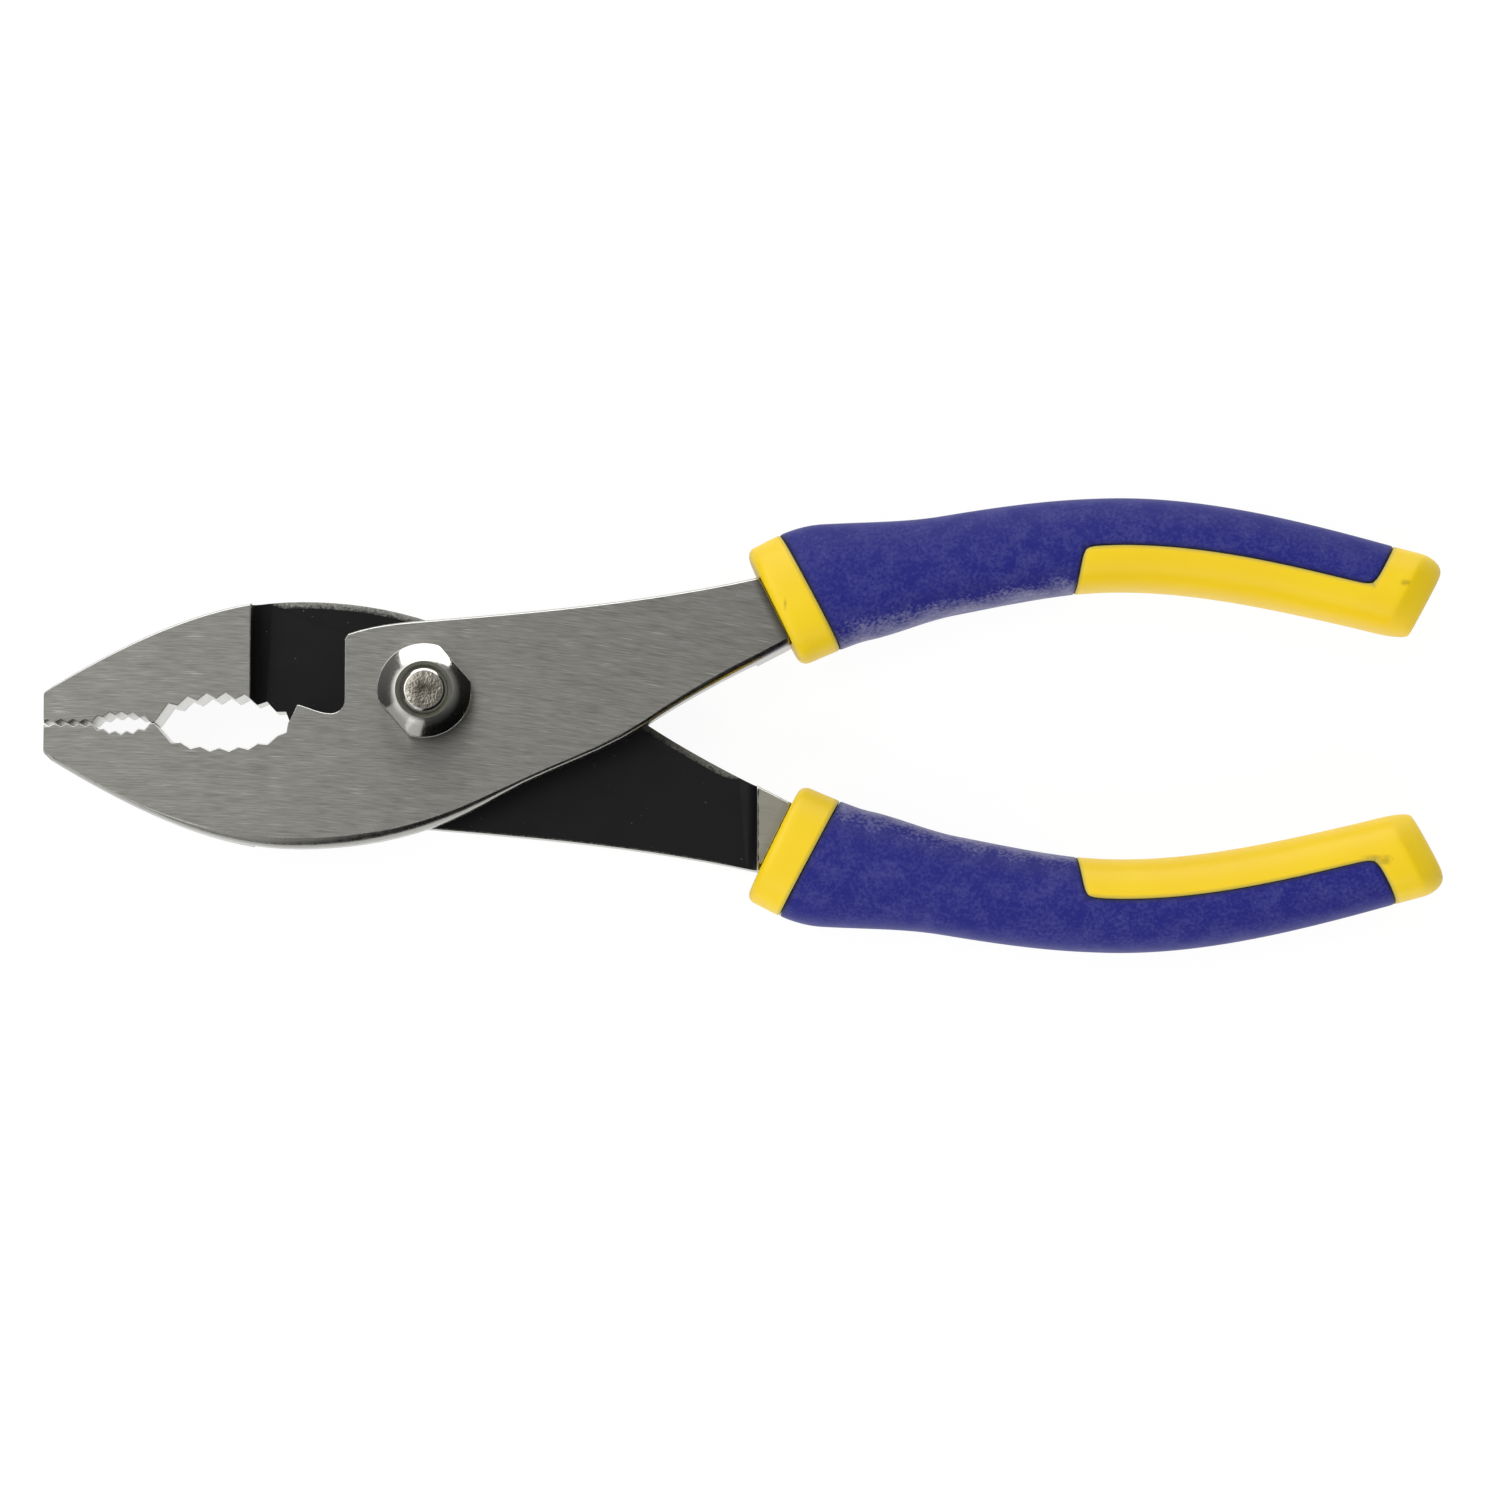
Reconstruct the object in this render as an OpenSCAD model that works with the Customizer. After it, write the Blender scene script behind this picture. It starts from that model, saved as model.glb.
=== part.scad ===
// Slip joint pliers, lying on one side with the jaws closed.
// X runs from the jaw tip to the handle ends and Y across the handles. The pivot axis is
// the Z axis, and z = 0 is the surface that the tool lies on.
// The two steel halves are the same forging, one turned half round about the middle line, and
// the pipe grip's teeth are cut in each of them by itself.

/* [Head] */
// Distance from the pivot axis to the jaw tip
jaw_reach = 45; // [43:0.5:50]
// Height of the blunt nose over both closed jaws
nose_h = 7; // [6:0.2:9]
// How far the corners of the nose are cut back
nose_cut = 1; // [0.6:0.1:1.6]
// How far the corners of the nose fall over that cut
nose_drop = 0.9; // [0.6:0.1:1.2]
// Width of the head at its widest place
head_w = 29.4; // [28:0.2:33]
// Distance from the pivot axis to the widest place
belly_at = 15; // [13:0.5:17]
// Distance from the pivot axis to the middle line between the jaws
pivot_rise = 3.6; // [3.2:0.1:4]
// Thickness of the steel over its two ground faces
steel_t = 9; // [8:0.2:10]
// How far the ground faces stand in from the forged sides
edge_crown = 0.7; // [0.4:0.1:1]
// How deep the forged sides slope in from the ground faces
edge_drop = 1.8; // [1.2:0.1:2.4]

/* [Lap joint] */
// Gap between the two lapped halves
lap_gap = 0.1; // [0.05:0.01:0.2]
// Distance from the pivot axis to the shoulder behind the jaw
jaw_shoulder = 20.6; // [20:0.2:22]
// Distance from the pivot axis to the shoulder on the handle
handle_shoulder = 39; // [36:0.5:40]
// Fillet at the foot of each shoulder
shoulder_r = 1.6; // [0.8:0.1:1.8]
// Distance from the pivot axis to the stepped edge in front of it
step_at = 9.5; // [9:0.1:10.5]
// Height of the handle's outer edge over the middle line, at the pivot
root_h = 12.2; // [11.8:0.1:13.4]
// How far the top of the stepped edge lies below that
step_drop = 1.5; // [1:0.1:2]
// Corner radius at the top of the stepped edge
step_r = 0.5; // [0.3:0.1:0.8]
// How far the handle's inner edge lies below the middle line behind the pivot
neck_drop = 8.6; // [8:0.1:9.5]
// Distance behind the pivot axis where that is measured
neck_at = 8.6; // [7.5:0.1:10]
// Distance from the pivot axis to the crotch between the handles
crotch_at = 26.2; // [24.6:0.2:28]

/* [Teeth] */
// Gap left between the closed jaws
jaw_gap = 0.12; // [0.06:0.02:0.3]
// Length of the flat serrated tip
tip_l = 5.8; // [5:0.1:6.5]
// Number of teeth on the tip
tip_teeth = 4; // [3:1:6]
// Depth of the teeth on the tip
tip_tooth = 0.35; // [0.2:0.05:0.5]
// Length of the small hollow behind the tip
small_l = 6.9; // [6:0.1:7.4]
// Depth of the small hollow in each jaw
small_depth = 1.3; // [1:0.1:1.6]
// Number of teeth in the small hollow
small_teeth = 5; // [4:1:6]
// Depth of the teeth in the small hollow
small_tooth = 0.4; // [0.2:0.05:0.5]
// Length of the land between the two hollows
land_l = 0.5; // [0.3:0.1:0.8]
// Number of teeth in the pipe grip of each jaw
pipe_teeth = 7; // [6:1:8]
// Depth of the pipe grip in the upper jaw
upper_depth = 3.5; // [3:0.1:4]
// Length of its first flank, behind the land
upper_lead = 1.6; // [1.2:0.1:2]
// Length of its last flank, before the cutter
upper_exit = 0.6; // [0.4:0.1:0.9]
// Depth of its teeth
upper_tooth = 0.75; // [0.4:0.05:0.9]
// Depth of the pipe grip in the lower jaw
lower_depth = 3.3; // [3:0.1:4]
// Length of its first flank, behind the land
lower_lead = 2; // [1.6:0.1:2.4]
// Length of its last flank, before the cutter
lower_exit = 0.2; // [0.1:0.1:0.6]
// Depth of its teeth
lower_tooth = 0.45; // [0.3:0.05:0.7]

/* [Wire cutter] */
// Distance from the pivot axis to the cutting edge
cutter_at = 16.1; // [15.8:0.1:17]
// Height of the cutter's nib over the middle line
nib_h = 2.1; // [1.8:0.1:2.6]
// How far the cutting edge leans back at the nib
nib_lean = 1; // [0.6:0.1:1.4]
// Width of the nib's blunt end
nib_flat = 0.3; // [0.2:0.1:0.6]
// Height of the hollow behind the nib over the middle line
bay_h = 1.1; // [0.8:0.1:1.4]
// Radius where the hollow rises to the stepped edge
bay_r = 1.6; // [1:0.1:2]

/* [Pivot] */
// Diameter of the bolt's shank
shank_d = 7; // [6:0.1:8]
// Width over the two flats that run in the slot
flats_w = 5.6; // [5:0.1:5.8]
// Distance that the pivot slips from the near to the far place
slip = 6; // [5:0.1:6.5]
// Diameter of the bolt's head
head_d = 11.4; // [10:0.1:12.5]
// Height of the bolt's head
head_h = 2; // [1.6:0.1:3]
// Bevel round the bolt's head
head_bevel = 0.6; // [0.3:0.1:0.9]
// Diameter of the threaded stud
stud_d = 5.5; // [4.8:0.1:5.8]
// How far the peened stud end stands over the nut
stud_proud = 0.1; // [0.05:0.05:0.5]
// Bevel round the stud's end
stud_bevel = 0.5; // [0.3:0.1:0.8]
// Diameter of the round nut
nut_d = 11.1; // [10.6:0.1:12.4]
// Width of the nut over its two flats
nut_af = 9.4; // [8.8:0.1:10.4]
// Height of the nut
nut_h = 4.2; // [3.4:0.1:5]
// Height of the nut's round rim, below its coned face
nut_rim = 2.4; // [1.6:0.1:3]
// Bevel round the foot of the nut
nut_bevel = 0.4; // [0.2:0.1:0.6]
// Distance from the stud's wall to the crest of the nut's face
nut_crest = 0.85; // [0.8:0.05:1.1]
// Breadth of the countersink inside that crest
sink_w = 0.75; // [0.5:0.05:0.8]
// Depth of the countersink
sink_depth = 1; // [0.6:0.1:1.4]
// Turn of the nut's flats about its axis, in degrees
nut_turn = 41; // [0:1:180]
// Running gap of the bolt in its bores and over the faces
run_gap = 0.05; // [0.03:0.01:0.09]

/* [Handles] */
// Distance from the pivot axis to the front of the grip
grip_at = 41; // [40.5:0.5:46]
// Length of the grip along the tool
grip_l = 77.2; // [70:0.2:95]
// Height of the grip's front over the middle line
grip_rise = 13.8; // [13.4:0.1:15]
// Distance from the front of the grip to its haunch
haunch_at = 8.5; // [7.5:0.5:10]
// Height of the haunch over the middle line
haunch_rise = 17; // [16.4:0.1:18]
// Height of the crest of the bowed grip over the middle line
bow_rise = 21.3; // [19:0.1:24]
// Distance from the front of the grip to its crest
bow_at = 41; // [37:0.5:46]
// Height of the grip's end over the middle line
tail_rise = 14.8; // [13:0.1:17]
// Lean of the grip's front face, in degrees
front_tilt = 26; // [20:1:30]
// Lean of the grip's end face, in degrees
tail_tilt = 28; // [18:1:32]
// Width of the steel where it enters the grip
handle_w = 8.8; // [8:0.1:9.4]
// How far the steel lies inward of the grip's middle there
handle_drop = 0.5; // [0:0.1:1]
// Width of the tang inside the grip
tang_w = 6; // [5:0.1:6.6]
// Thickness of the tang inside the grip
tang_t = 6.2; // [5.4:0.1:6.6]
// Distance from the grip's front to where the tang has that width
tang_at = 17; // [13:0.5:20]
// Length of the tang inside the grip
tang_l = 62; // [54:0.5:66]

/* [Grips] */
// Width of the grip's front face
collar_w = 15; // [14.4:0.1:16]
// Width of the grip at its flare
flare_w = 15.3; // [14.8:0.1:17]
// Distance from the front of the grip to the flare
flare_at = 4.5; // [4:0.5:6.5]
// Width of the grip behind the flare
waist_w = 11.7; // [11.3:0.1:12.6]
// Distance from the front of the grip to where the flare ends
waist_at = 21; // [18:0.5:24]
// Width of the grip at its end
tail_w = 10.5; // [10.2:0.1:12]
// How far the grip stands over the ground faces of the steel
grip_proud = 2; // [1.6:0.1:2.6]
// How much each side of the grip thins toward its end
tail_thin = 0.5; // [0:0.1:0.8]
// Distance from the front of the grip to where it starts to thin
thin_at = 54; // [45:1:60]
// Wall of the cover over the core
cover_wall = 1.1; // [0.9:0.05:1.4]
// Moulding gap between steel, core and cover
mould_gap = 0.1; // [0.05:0.01:0.15]
// Length of the bare collar at the front of the core
collar_l = 4.3; // [3.5:0.1:6]
// Lean of the seam behind the collar, in degrees
collar_tilt = 28; // [22:1:31]
// Distance from the front of the grip to the finger strip
strip_at = 36.5; // [32:0.5:42]
// How far the finger strip's edge lies inward of the grip's middle line
strip_in = 0.5; // [0:0.1:1.2]
// Length of the bare tail at the end of the core
tail_l = 6.6; // [5.5:0.1:8]
// Corner radius of the finger strip
strip_r = 1.5; // [0.8:0.1:2]
// Roundness of the grip's front edge
front_r = 1.1; // [0.6:0.1:1.6]
// Roundness of the grip's end, seen on its broad side
tail_r = 1.7; // [1:0.1:2.2]
// Roundness of the grip's end, through its thickness
tail_dome = 3; // [2:0.1:3.6]

/* [Hidden] */

// Colours of the ground steel, the plated pivot and the two moulded plastics
steel_colour = "#8c8b87";
plate_colour = "#b9b8b3";
core_colour = "#f4d21f";
cover_colour = "#37358c";

// Heights of the ground faces, the lap and the grips from the lap plane
face_z = steel_t / 2;
grip_half_d = face_z + grip_proud;
tail_half_d = grip_half_d - tail_thin;
// Height of the lap plane over the surface that the bolt's head lies on
rest_h = face_z + run_gap + head_h;
// Overshoot of cutters past the faces that they open, and of the side relief each way
past = 1;
relief_out = 0.5;
relief_in = 0.3;

// Exponent of the grip's rounded-box section, and its facets round and along
section_power = 2.7;
section_sides = 28;
ring_step = 3.2;
end_rings = 4;
// Sides of round pieces, and spans in a long, a middling and a short curve or arc
round_n = 96;
long_n = 16;
mid_n = 12;
short_n = 6;
// Step over which the slope of the grip's middle line is taken
slope_step = 0.5;

// The hollows in the jaws, measured along X
tip_x = -jaw_reach;
small_x = tip_x + tip_l;
land_x = small_x + small_l;
pipe_x = land_x + land_l;
pipe_end_x = -cutter_at;
pipe_mid_x = (pipe_x + pipe_end_x) / 2;
// How far the pipe grip's ellipse runs past its ends
pipe_past = 0.25;
// The pipe grip's cut in each jaw: depth, first and last flank, and depth of the teeth
upper_pipe = [upper_depth, upper_lead, upper_exit, upper_tooth];
lower_pipe = [lower_depth, lower_lead, lower_exit, lower_tooth];

// Slopes of the forging's edges and of the grip's middle line where they pass their points
nose_slope = -0.6;
neck_slope = 0.58;
crotch_slope = 0.66;
step_slope = 0.35;
root_slope = 0.08;
nib_slope = -0.3;
inner_slope = 0.52;
outer_slope = 0.22;
front_slope = 0.45;
haunch_slope = 0.12;
tail_slope = -0.25;

// Points of the forging's outer edge, each with its slope
nose_corner = [tip_x, -nose_h / 2];
nose_low = [tip_x + nose_cut, -nose_h / 2 - nose_drop, nose_slope];
belly = [-belly_at, -head_w / 2, 0];
neck = [neck_at, -neck_drop, neck_slope];
crotch = [crotch_at, 0, crotch_slope];
root_top = [0, root_h, root_slope];

// The bowed middle line of the grip, each point with its slope
front_mid = [grip_at, grip_rise, front_slope];
haunch_mid = [grip_at + haunch_at, haunch_rise, haunch_slope];
crest_mid = [grip_at + bow_at, bow_rise, 0];
tail_mid = [grip_at + grip_l, tail_rise, tail_slope];

// The handle's edges where they enter the grip, and the tang's along the grip's middle line
front_dir = [-sin(front_tilt), cos(front_tilt)];
entry_low = entry_point(-handle_drop - handle_w / 2, inner_slope);
entry_up = entry_point(-handle_drop + handle_w / 2, outer_slope);
tang_x = [grip_at + tang_at, crest_mid[0], grip_at + tang_l];

function entry_point(off, slope) =
    [grip_at + off * front_dir[0], grip_rise + off * front_dir[1], slope];
function tang_point(x, side) = [x, mid_y(x) + side * tang_w / 2 * sqrt(1 + mid_slope(x) ^ 2), mid_slope(x)];
function mix(a, b, u) = a + (b - a) * u;
function ease(u) = u * u * (3 - 2 * u);
function flip(list) = [for (i = [len(list) - 1:-1:0]) list[i]];
function most(list) = [for (i = [0:len(list) - 2]) list[i]];
function flat(p) = [p[0], p[1]];

// A cubic in x through a and b, each [x, y, slope]
function cubic(a, b, x) =
    let (w = b[0] - a[0], u = (x - a[0]) / w)
    (2 * u ^ 3 - 3 * u ^ 2 + 1) * a[1] + (u ^ 3 - 2 * u ^ 2 + u) * w * a[2]
    + (3 * u ^ 2 - 2 * u ^ 3) * b[1] + (u ^ 3 - u ^ 2) * w * b[2];
// Its points from a up to, but without, b
function curve(a, b, n) =
    [for (i = [0:n - 1]) let (x = mix(a[0], b[0], i / n)) [x, cubic(a, b, x)]];
function arc(centre, r, from, to, n) =
    [for (i = [0:n]) let (a = mix(from, to, i / n)) centre + r * [cos(a), sin(a)]];

// The grip's middle line, the lean of its sections and their half widths and half depths
function mid_y(x) =
    x < haunch_mid[0] ? cubic(front_mid, haunch_mid, x)
    : x < crest_mid[0] ? cubic(haunch_mid, crest_mid, x)
    : cubic(crest_mid, tail_mid, x);
function strip_y(x) = mid_y(x) - strip_in;
function mid_slope(x) = (mid_y(x + slope_step) - mid_y(x - slope_step)) / (2 * slope_step);
function tilt(x) = mix(front_tilt, -tail_tilt, (x - grip_at) / grip_l);
function half_w(x) =
    let (d = x - grip_at)
    (d < flare_at ? mix(collar_w, flare_w, ease(max(d, 0) / flare_at))
     : d < waist_at ? mix(flare_w, waist_w, ease((d - flare_at) / (waist_at - flare_at)))
     : mix(waist_w, tail_w, (d - waist_at) / (grip_l - waist_at))) / 2;
function half_d(x) =
    mix(grip_half_d, tail_half_d, ease(max(0, x - grip_at - thin_at) / (grip_l - thin_at)));

// The toothed edge of one jaw from the tip to the cutter, as the edge of the lower jaw.
// Each hollow runs valley, peak, valley along its curve.
function tip_edge() =
    let (pitch = tip_l / tip_teeth)
    [for (i = [0:tip_teeth - 1]) each [[tip_x + i * pitch, 0], [tip_x + (i + 0.5) * pitch, -tip_tooth]]];
function small_edge() =
    let (pitch = small_l / small_teeth)
    [for (i = [0:2 * small_teeth - 1])
        let (u = i / (2 * small_teeth), bow = small_depth * sqrt(1 - (2 * u - 1) ^ 2))
        [small_x + i * pitch / 2, i % 2 == 1 ? -bow : min(0, small_tooth - bow)]];
function pipe_bow(x) =
    sqrt(max(0, 1 - ((x - pipe_mid_x) / (pipe_mid_x - pipe_x + pipe_past)) ^ 2));
function pipe_edge(pipe) =
    let (pitch = (pipe_end_x - pipe_x - pipe[1] - pipe[2]) / (pipe_teeth - 1))
    concat([[land_x, 0], [pipe_x, 0]],
           [for (i = [0:2 * pipe_teeth - 2])
               let (x = pipe_x + pipe[1] + i * pitch / 2)
               [x, -pipe[0] * pipe_bow(x) + (i % 2 == 1 ? pipe[3] : 0)]]);
function jaw_edge(pipe) =
    [for (p = concat(tip_edge(), small_edge(), pipe_edge(pipe))) [p[0], p[1] - jaw_gap / 2]];

// The cutter's nib, the hollow behind it and the stepped edge, from the jaw to the handle
function cutter_edge() =
    let (nib_x = pipe_end_x + nib_lean, bay_x = -step_at - bay_r)
    concat([[pipe_end_x, -jaw_gap / 2], [nib_x, nib_h]],
           curve([nib_x + nib_flat, nib_h, nib_slope], [bay_x, bay_h, 0], short_n),
           arc([bay_x, bay_h + bay_r], bay_r, -90, 0, short_n),
           most(step_corner()));
function step_corner() =
    arc([step_r - step_at, root_h - step_drop - step_r], step_r, 180, 90 + atan(step_slope), short_n);

// The edges of the handle and tang, from the head to the end of the tang
function tang_edge(entry, side) =
    let (p = [for (x = tang_x) tang_point(x, side)])
    concat(curve(entry, p[0], short_n), curve(p[0], p[1], short_n), curve(p[1], p[2], short_n),
           [flat(p[2])]);
function neck_edge() = concat(curve(neck, crotch, short_n), curve(crotch, entry_low, mid_n));
function inner_edge() = concat(neck_edge(), tang_edge(entry_low, -1));
function outer_edge() = concat(curve(root_top, entry_up, mid_n), tang_edge(entry_up, 1));
function head_edge() =
    concat([[tip_x, -jaw_gap / 2], nose_corner], curve(nose_low, belly, long_n), curve(belly, neck, mid_n));
function shoulder_edge() =
    let (p = step_corner()[short_n])
    curve([p[0], p[1], step_slope], root_top, short_n);

// Carries an edge's sloping side a little way into the grip
function into_grip(p) = [flat(p), flat(p) + [1, p[2]] * mould_gap];

// The whole outline, with the steel on its left
function outline(pipe) =
    concat(head_edge(), inner_edge(), flip(outer_edge()), flip(shoulder_edge()),
           flip(cutter_edge()), flip(jaw_edge(pipe)));

// A solid skinned over rings of equal length, which turn left about the way that they run
module loft(rings) {
    n = len(rings[0]);
    last = len(rings) - 1;
    skin = [for (i = [0:last - 1], k = [0:n - 1])
        let (a = i * n + k, b = i * n + (k + 1) % n) each [[a, a + n, b + n], [a, b + n, b]]];
    polyhedron([for (r = rings) each r],
               concat(skin, [[for (k = [0:n - 1]) k]], [[for (k = [n - 1:-1:0]) last * n + k]]));
}

// Cuts the sloping forged side along an edge that has the steel on its left
module side_relief(path) {
    last = len(path) - 1;
    steep = edge_drop / edge_crown;
    in = edge_crown + relief_in;
    loft([for (i = [0:last])
        let (d = path[min(i + 1, last)] - path[max(i - 1, 0)], left = [-d[1], d[0]] / norm(d),
             section = [[-relief_out, face_z - edge_drop - relief_out * steep],
                        [in, face_z + relief_in * steep], [in, face_z + past], [-relief_out, face_z + past]])
        [for (s = section) let (p = path[i] + s[0] * left) [p[0], p[1], s[1]]]]);
}

// The space behind one half that the other half laps into, with a fillet at each shoulder
module lap_space() {
    floor_z = lap_gap / 2;
    jaw_c = [-jaw_shoulder + shoulder_r, floor_z - shoulder_r];
    handle_c = [handle_shoulder - shoulder_r, floor_z - shoulder_r];
    profile = concat([[-jaw_shoulder, -face_z - past]], arc(jaw_c, shoulder_r, 180, 90, short_n),
                     arc(handle_c, shoulder_r, 90, 0, short_n), [[handle_shoulder, -face_z - past]]);
    rotate([90, 0, 0])
        linear_extrude(4 * head_w, center = true)
            polygon(profile);
}

// The space over the thinner tang, from just before the grip's front face to past the tang
module tang_space() {
    foot = [grip_at - mould_gap / cos(front_tilt), grip_rise];
    up = front_dir * 2 * flare_w;
    far = [2 * grip_l, 0];
    translate([0, 0, tang_t / 2])
        linear_extrude(steel_t)
            polygon([foot - up, foot - up + far, foot + up + far, foot + up]);
}

// One forging: lower jaw, lapped head, upper handle and tang, with its own cut of the pipe grip
module forging(pipe) {
    // The sloping side of the shoulder runs out through the corner of the stepped edge
    step_end = shoulder_edge()[0] - [1, step_slope] * past;
    difference() {
        translate([0, 0, -face_z])
            linear_extrude(steel_t)
                polygon(outline(pipe));
        lap_space();
        for (m = [0, 1])
            mirror([0, 0, m]) {
                tang_space();
                side_relief(concat(head_edge(), neck_edge(), into_grip(entry_low)));
                side_relief(concat(flip(into_grip(entry_up)), flip(curve(root_top, entry_up, mid_n)),
                                   flip(shoulder_edge()), [step_end]));
            }
    }
}

// Moves a piece from the middle line and the lap plane to the pivot axis and the rest plane
module seat() {
    translate([0, -pivot_rise, rest_h])
        children();
}

module turned() {
    rotate([180, 0, 0])
        children();
}

module shank_bore(y) {
    translate([0, y, -steel_t])
        cylinder(d = shank_d + 2 * run_gap, h = 2 * steel_t, $fn = round_n);
}

// Half with the lower jaw and the upper handle, drilled for the bolt's journal
module front_half() {
    color(steel_colour)
        seat()
            difference() {
                forging(lower_pipe);
                shank_bore(pivot_rise);
            }
}

// Half with the upper jaw and the lower handle, with the slot that the pivot slips in
module rear_half() {
    neck_w = flats_w + 2 * run_gap;
    color(steel_colour)
        seat()
            difference() {
                turned()
                    forging(upper_pipe);
                shank_bore(pivot_rise);
                shank_bore(pivot_rise - slip);
                translate([-neck_w / 2, pivot_rise - slip, -steel_t])
                    cube([neck_w, slip, 2 * steel_t]);
            }
}

// Shoulder bolt: round head, flatted shank in the slot, round journal and threaded stud
module pivot_bolt() {
    head_z = -face_z - run_gap;
    foot_z = head_z - head_h;
    journal_z = face_z + run_gap;
    stud_h = nut_h + stud_proud;
    head_r = head_d / 2;
    stud_r = stud_d / 2;
    color(plate_colour)
        translate([0, 0, rest_h]) {
            rotate_extrude($fn = round_n)
                polygon([[0, foot_z], [head_r - head_bevel, foot_z], [head_r, foot_z + head_bevel],
                         [head_r, head_z], [0, head_z]]);
            intersection() {
                translate([0, 0, head_z])
                    cylinder(d = shank_d, h = -head_z, $fn = round_n);
                translate([-flats_w / 2, -shank_d, head_z])
                    cube([flats_w, 2 * shank_d, -head_z]);
            }
            cylinder(d = shank_d, h = journal_z, $fn = round_n);
            translate([0, 0, journal_z])
                rotate_extrude($fn = round_n)
                    polygon([[0, 0], [stud_r, 0], [stud_r, stud_h - stud_bevel],
                             [stud_r - stud_bevel, stud_h], [0, stud_h]]);
        }
}

// Round nut with a coned face, two flats and a countersunk thread
module pivot_nut() {
    rim_r = nut_d / 2;
    hole_r = stud_d / 2 + run_gap;
    color(plate_colour)
        translate([0, 0, rest_h + face_z + run_gap])
            difference() {
                intersection() {
                    rotate(nut_turn)
                        translate([-nut_af / 2, -nut_d, -past])
                            cube([nut_af, 2 * nut_d, nut_h + 2 * past]);
                    rotate_extrude($fn = round_n)
                        polygon([[0, 0], [rim_r - nut_bevel, 0], [rim_r, nut_bevel], [rim_r, nut_rim],
                                 [stud_d / 2 + nut_crest, nut_h], [0, nut_h]]);
                }
                translate([0, 0, -past])
                    cylinder(r = hole_r, h = nut_h + 2 * past, $fn = round_n);
                translate([0, 0, nut_h - sink_depth])
                    cylinder(r1 = hole_r, r2 = stud_d / 2 + sink_w, h = sink_depth, $fn = round_n);
            }
}

// One section of the grip at x, drawn in by width and depth
function section(x, in_w, in_d) =
    let (w = half_w(x) - in_w, d = half_d(x) - in_d, u = [-sin(tilt(x)), cos(tilt(x)), 0],
         e = 2 / section_power)
    [for (k = [0:section_sides - 1])
        let (a = 360 * k / section_sides, c = cos(a), s = sin(a))
        [x, mid_y(x), 0] + sign(c) * abs(c) ^ e * w * u + [0, 0, sign(s) * abs(s) ^ e * d]];

// The grip's outer form, or one that lies evenly inside it
module grip_form(inset) {
    first = grip_at + inset;
    last = grip_at + grip_l - inset;
    body_n = round((last - first - front_r - tail_dome) / ring_step);
    loft(concat(
        [for (k = [0:end_rings - 1])
            let (a = 90 * k / end_rings, in = front_r * (1 - sin(a)))
            section(first + front_r * (1 - cos(a)), inset + in, inset + in)],
        [for (i = [0:body_n])
            section(mix(first + front_r, last - tail_dome, i / body_n), inset, inset)],
        [for (k = [end_rings - 1:-1:0])
            let (a = 90 * k / end_rings)
            section(last - tail_dome * (1 - cos(a)),
                    inset + tail_r * (1 - sin(a)), inset + tail_dome * (1 - sin(a)))]));
}

// Stands a flat region through the whole thickness of the grip
module through() {
    translate([0, 0, -2 * grip_half_d])
        linear_extrude(4 * grip_half_d)
            children();
}

// The collar at the front of the grip, as a region seen on the broad side
module collar_zone(grow) {
    x = grip_at + collar_l + grow;
    u = [-sin(collar_tilt), cos(collar_tilt)] * flare_w;
    m = [x, mid_y(x)];
    back = [-2 * flare_w, 0];
    polygon([m + u, m + u + back, m - u + back, m - u]);
}

// The finger strip along the inner side of the grip and its tail, as one region
module strip_zone(grow) {
    x0 = grip_at + strip_at - grow;
    start = grip_at + strip_at + strip_r;
    end = grip_at + grip_l - tail_l - strip_r;
    far_x = grip_at + grip_l + flare_w;
    low_y = mid_y(start) - 2 * flare_w;
    line = [for (i = [1:long_n]) let (x = mix(start, end, i / long_n)) [x, strip_y(x) + grow]];
    lead = atan(mid_slope(end));
    corner = arc([start, strip_y(start) - strip_r], strip_r + grow, 180, 90, short_n);
    bend = [end, strip_y(end)] + strip_r * [-sin(lead), cos(lead)];
    notch = arc(bend, strip_r - grow, lead - 90, -tail_tilt, short_n);
    top = notch[short_n] + 2 * flare_w * [sin(tail_tilt), cos(tail_tilt)];
    polygon(concat([[x0, low_y]], corner, line, notch, [top, [far_x, top[1]], [far_x, low_y]]));
}

// The hole that the steel handle and its tang fill, with the moulding gap all round
module tang_hole() {
    rise = mould_gap / cos(front_tilt);
    outer = [for (p = outer_edge()) p + [0, rise]];
    inner = [for (p = inner_edge()) p - [0, rise]];
    ends = [for (edge = [inner, outer]) edge[len(edge) - 1] + [mould_gap, 0]];
    translate([0, 0, -tang_t / 2 - mould_gap])
        linear_extrude(tang_t + 2 * mould_gap)
            polygon(concat(inner, ends, flip(outer)));
}

// First shot of the grip: collar, sleeve round the tang, finger strip and tail
module grip_core() {
    color(core_colour)
        difference() {
            union() {
                intersection() {
                    grip_form(0);
                    through()
                        union() {
                            collar_zone(0);
                            strip_zone(0);
                        }
                }
                grip_form(cover_wall + mould_gap);
            }
            tang_hole();
        }
}

// Second shot of the grip: the soft cover over the sleeve
module grip_cover() {
    color(cover_colour)
        difference() {
            grip_form(0);
            through()
                union() {
                    collar_zone(mould_gap);
                    strip_zone(mould_gap);
                }
            grip_form(cover_wall);
        }
}

module upper_grip_core() {
    seat()
        grip_core();
}

module upper_grip_cover() {
    seat()
        grip_cover();
}

module lower_grip_core() {
    seat()
        turned()
            grip_core();
}

module lower_grip_cover() {
    seat()
        turned()
            grip_cover();
}

front_half();
rear_half();
pivot_bolt();
pivot_nut();
upper_grip_core();
upper_grip_cover();
lower_grip_core();
lower_grip_cover();
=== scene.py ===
"""Slip joint pliers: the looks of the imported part, laid out as an add-on and run as a script."""
import math

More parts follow.
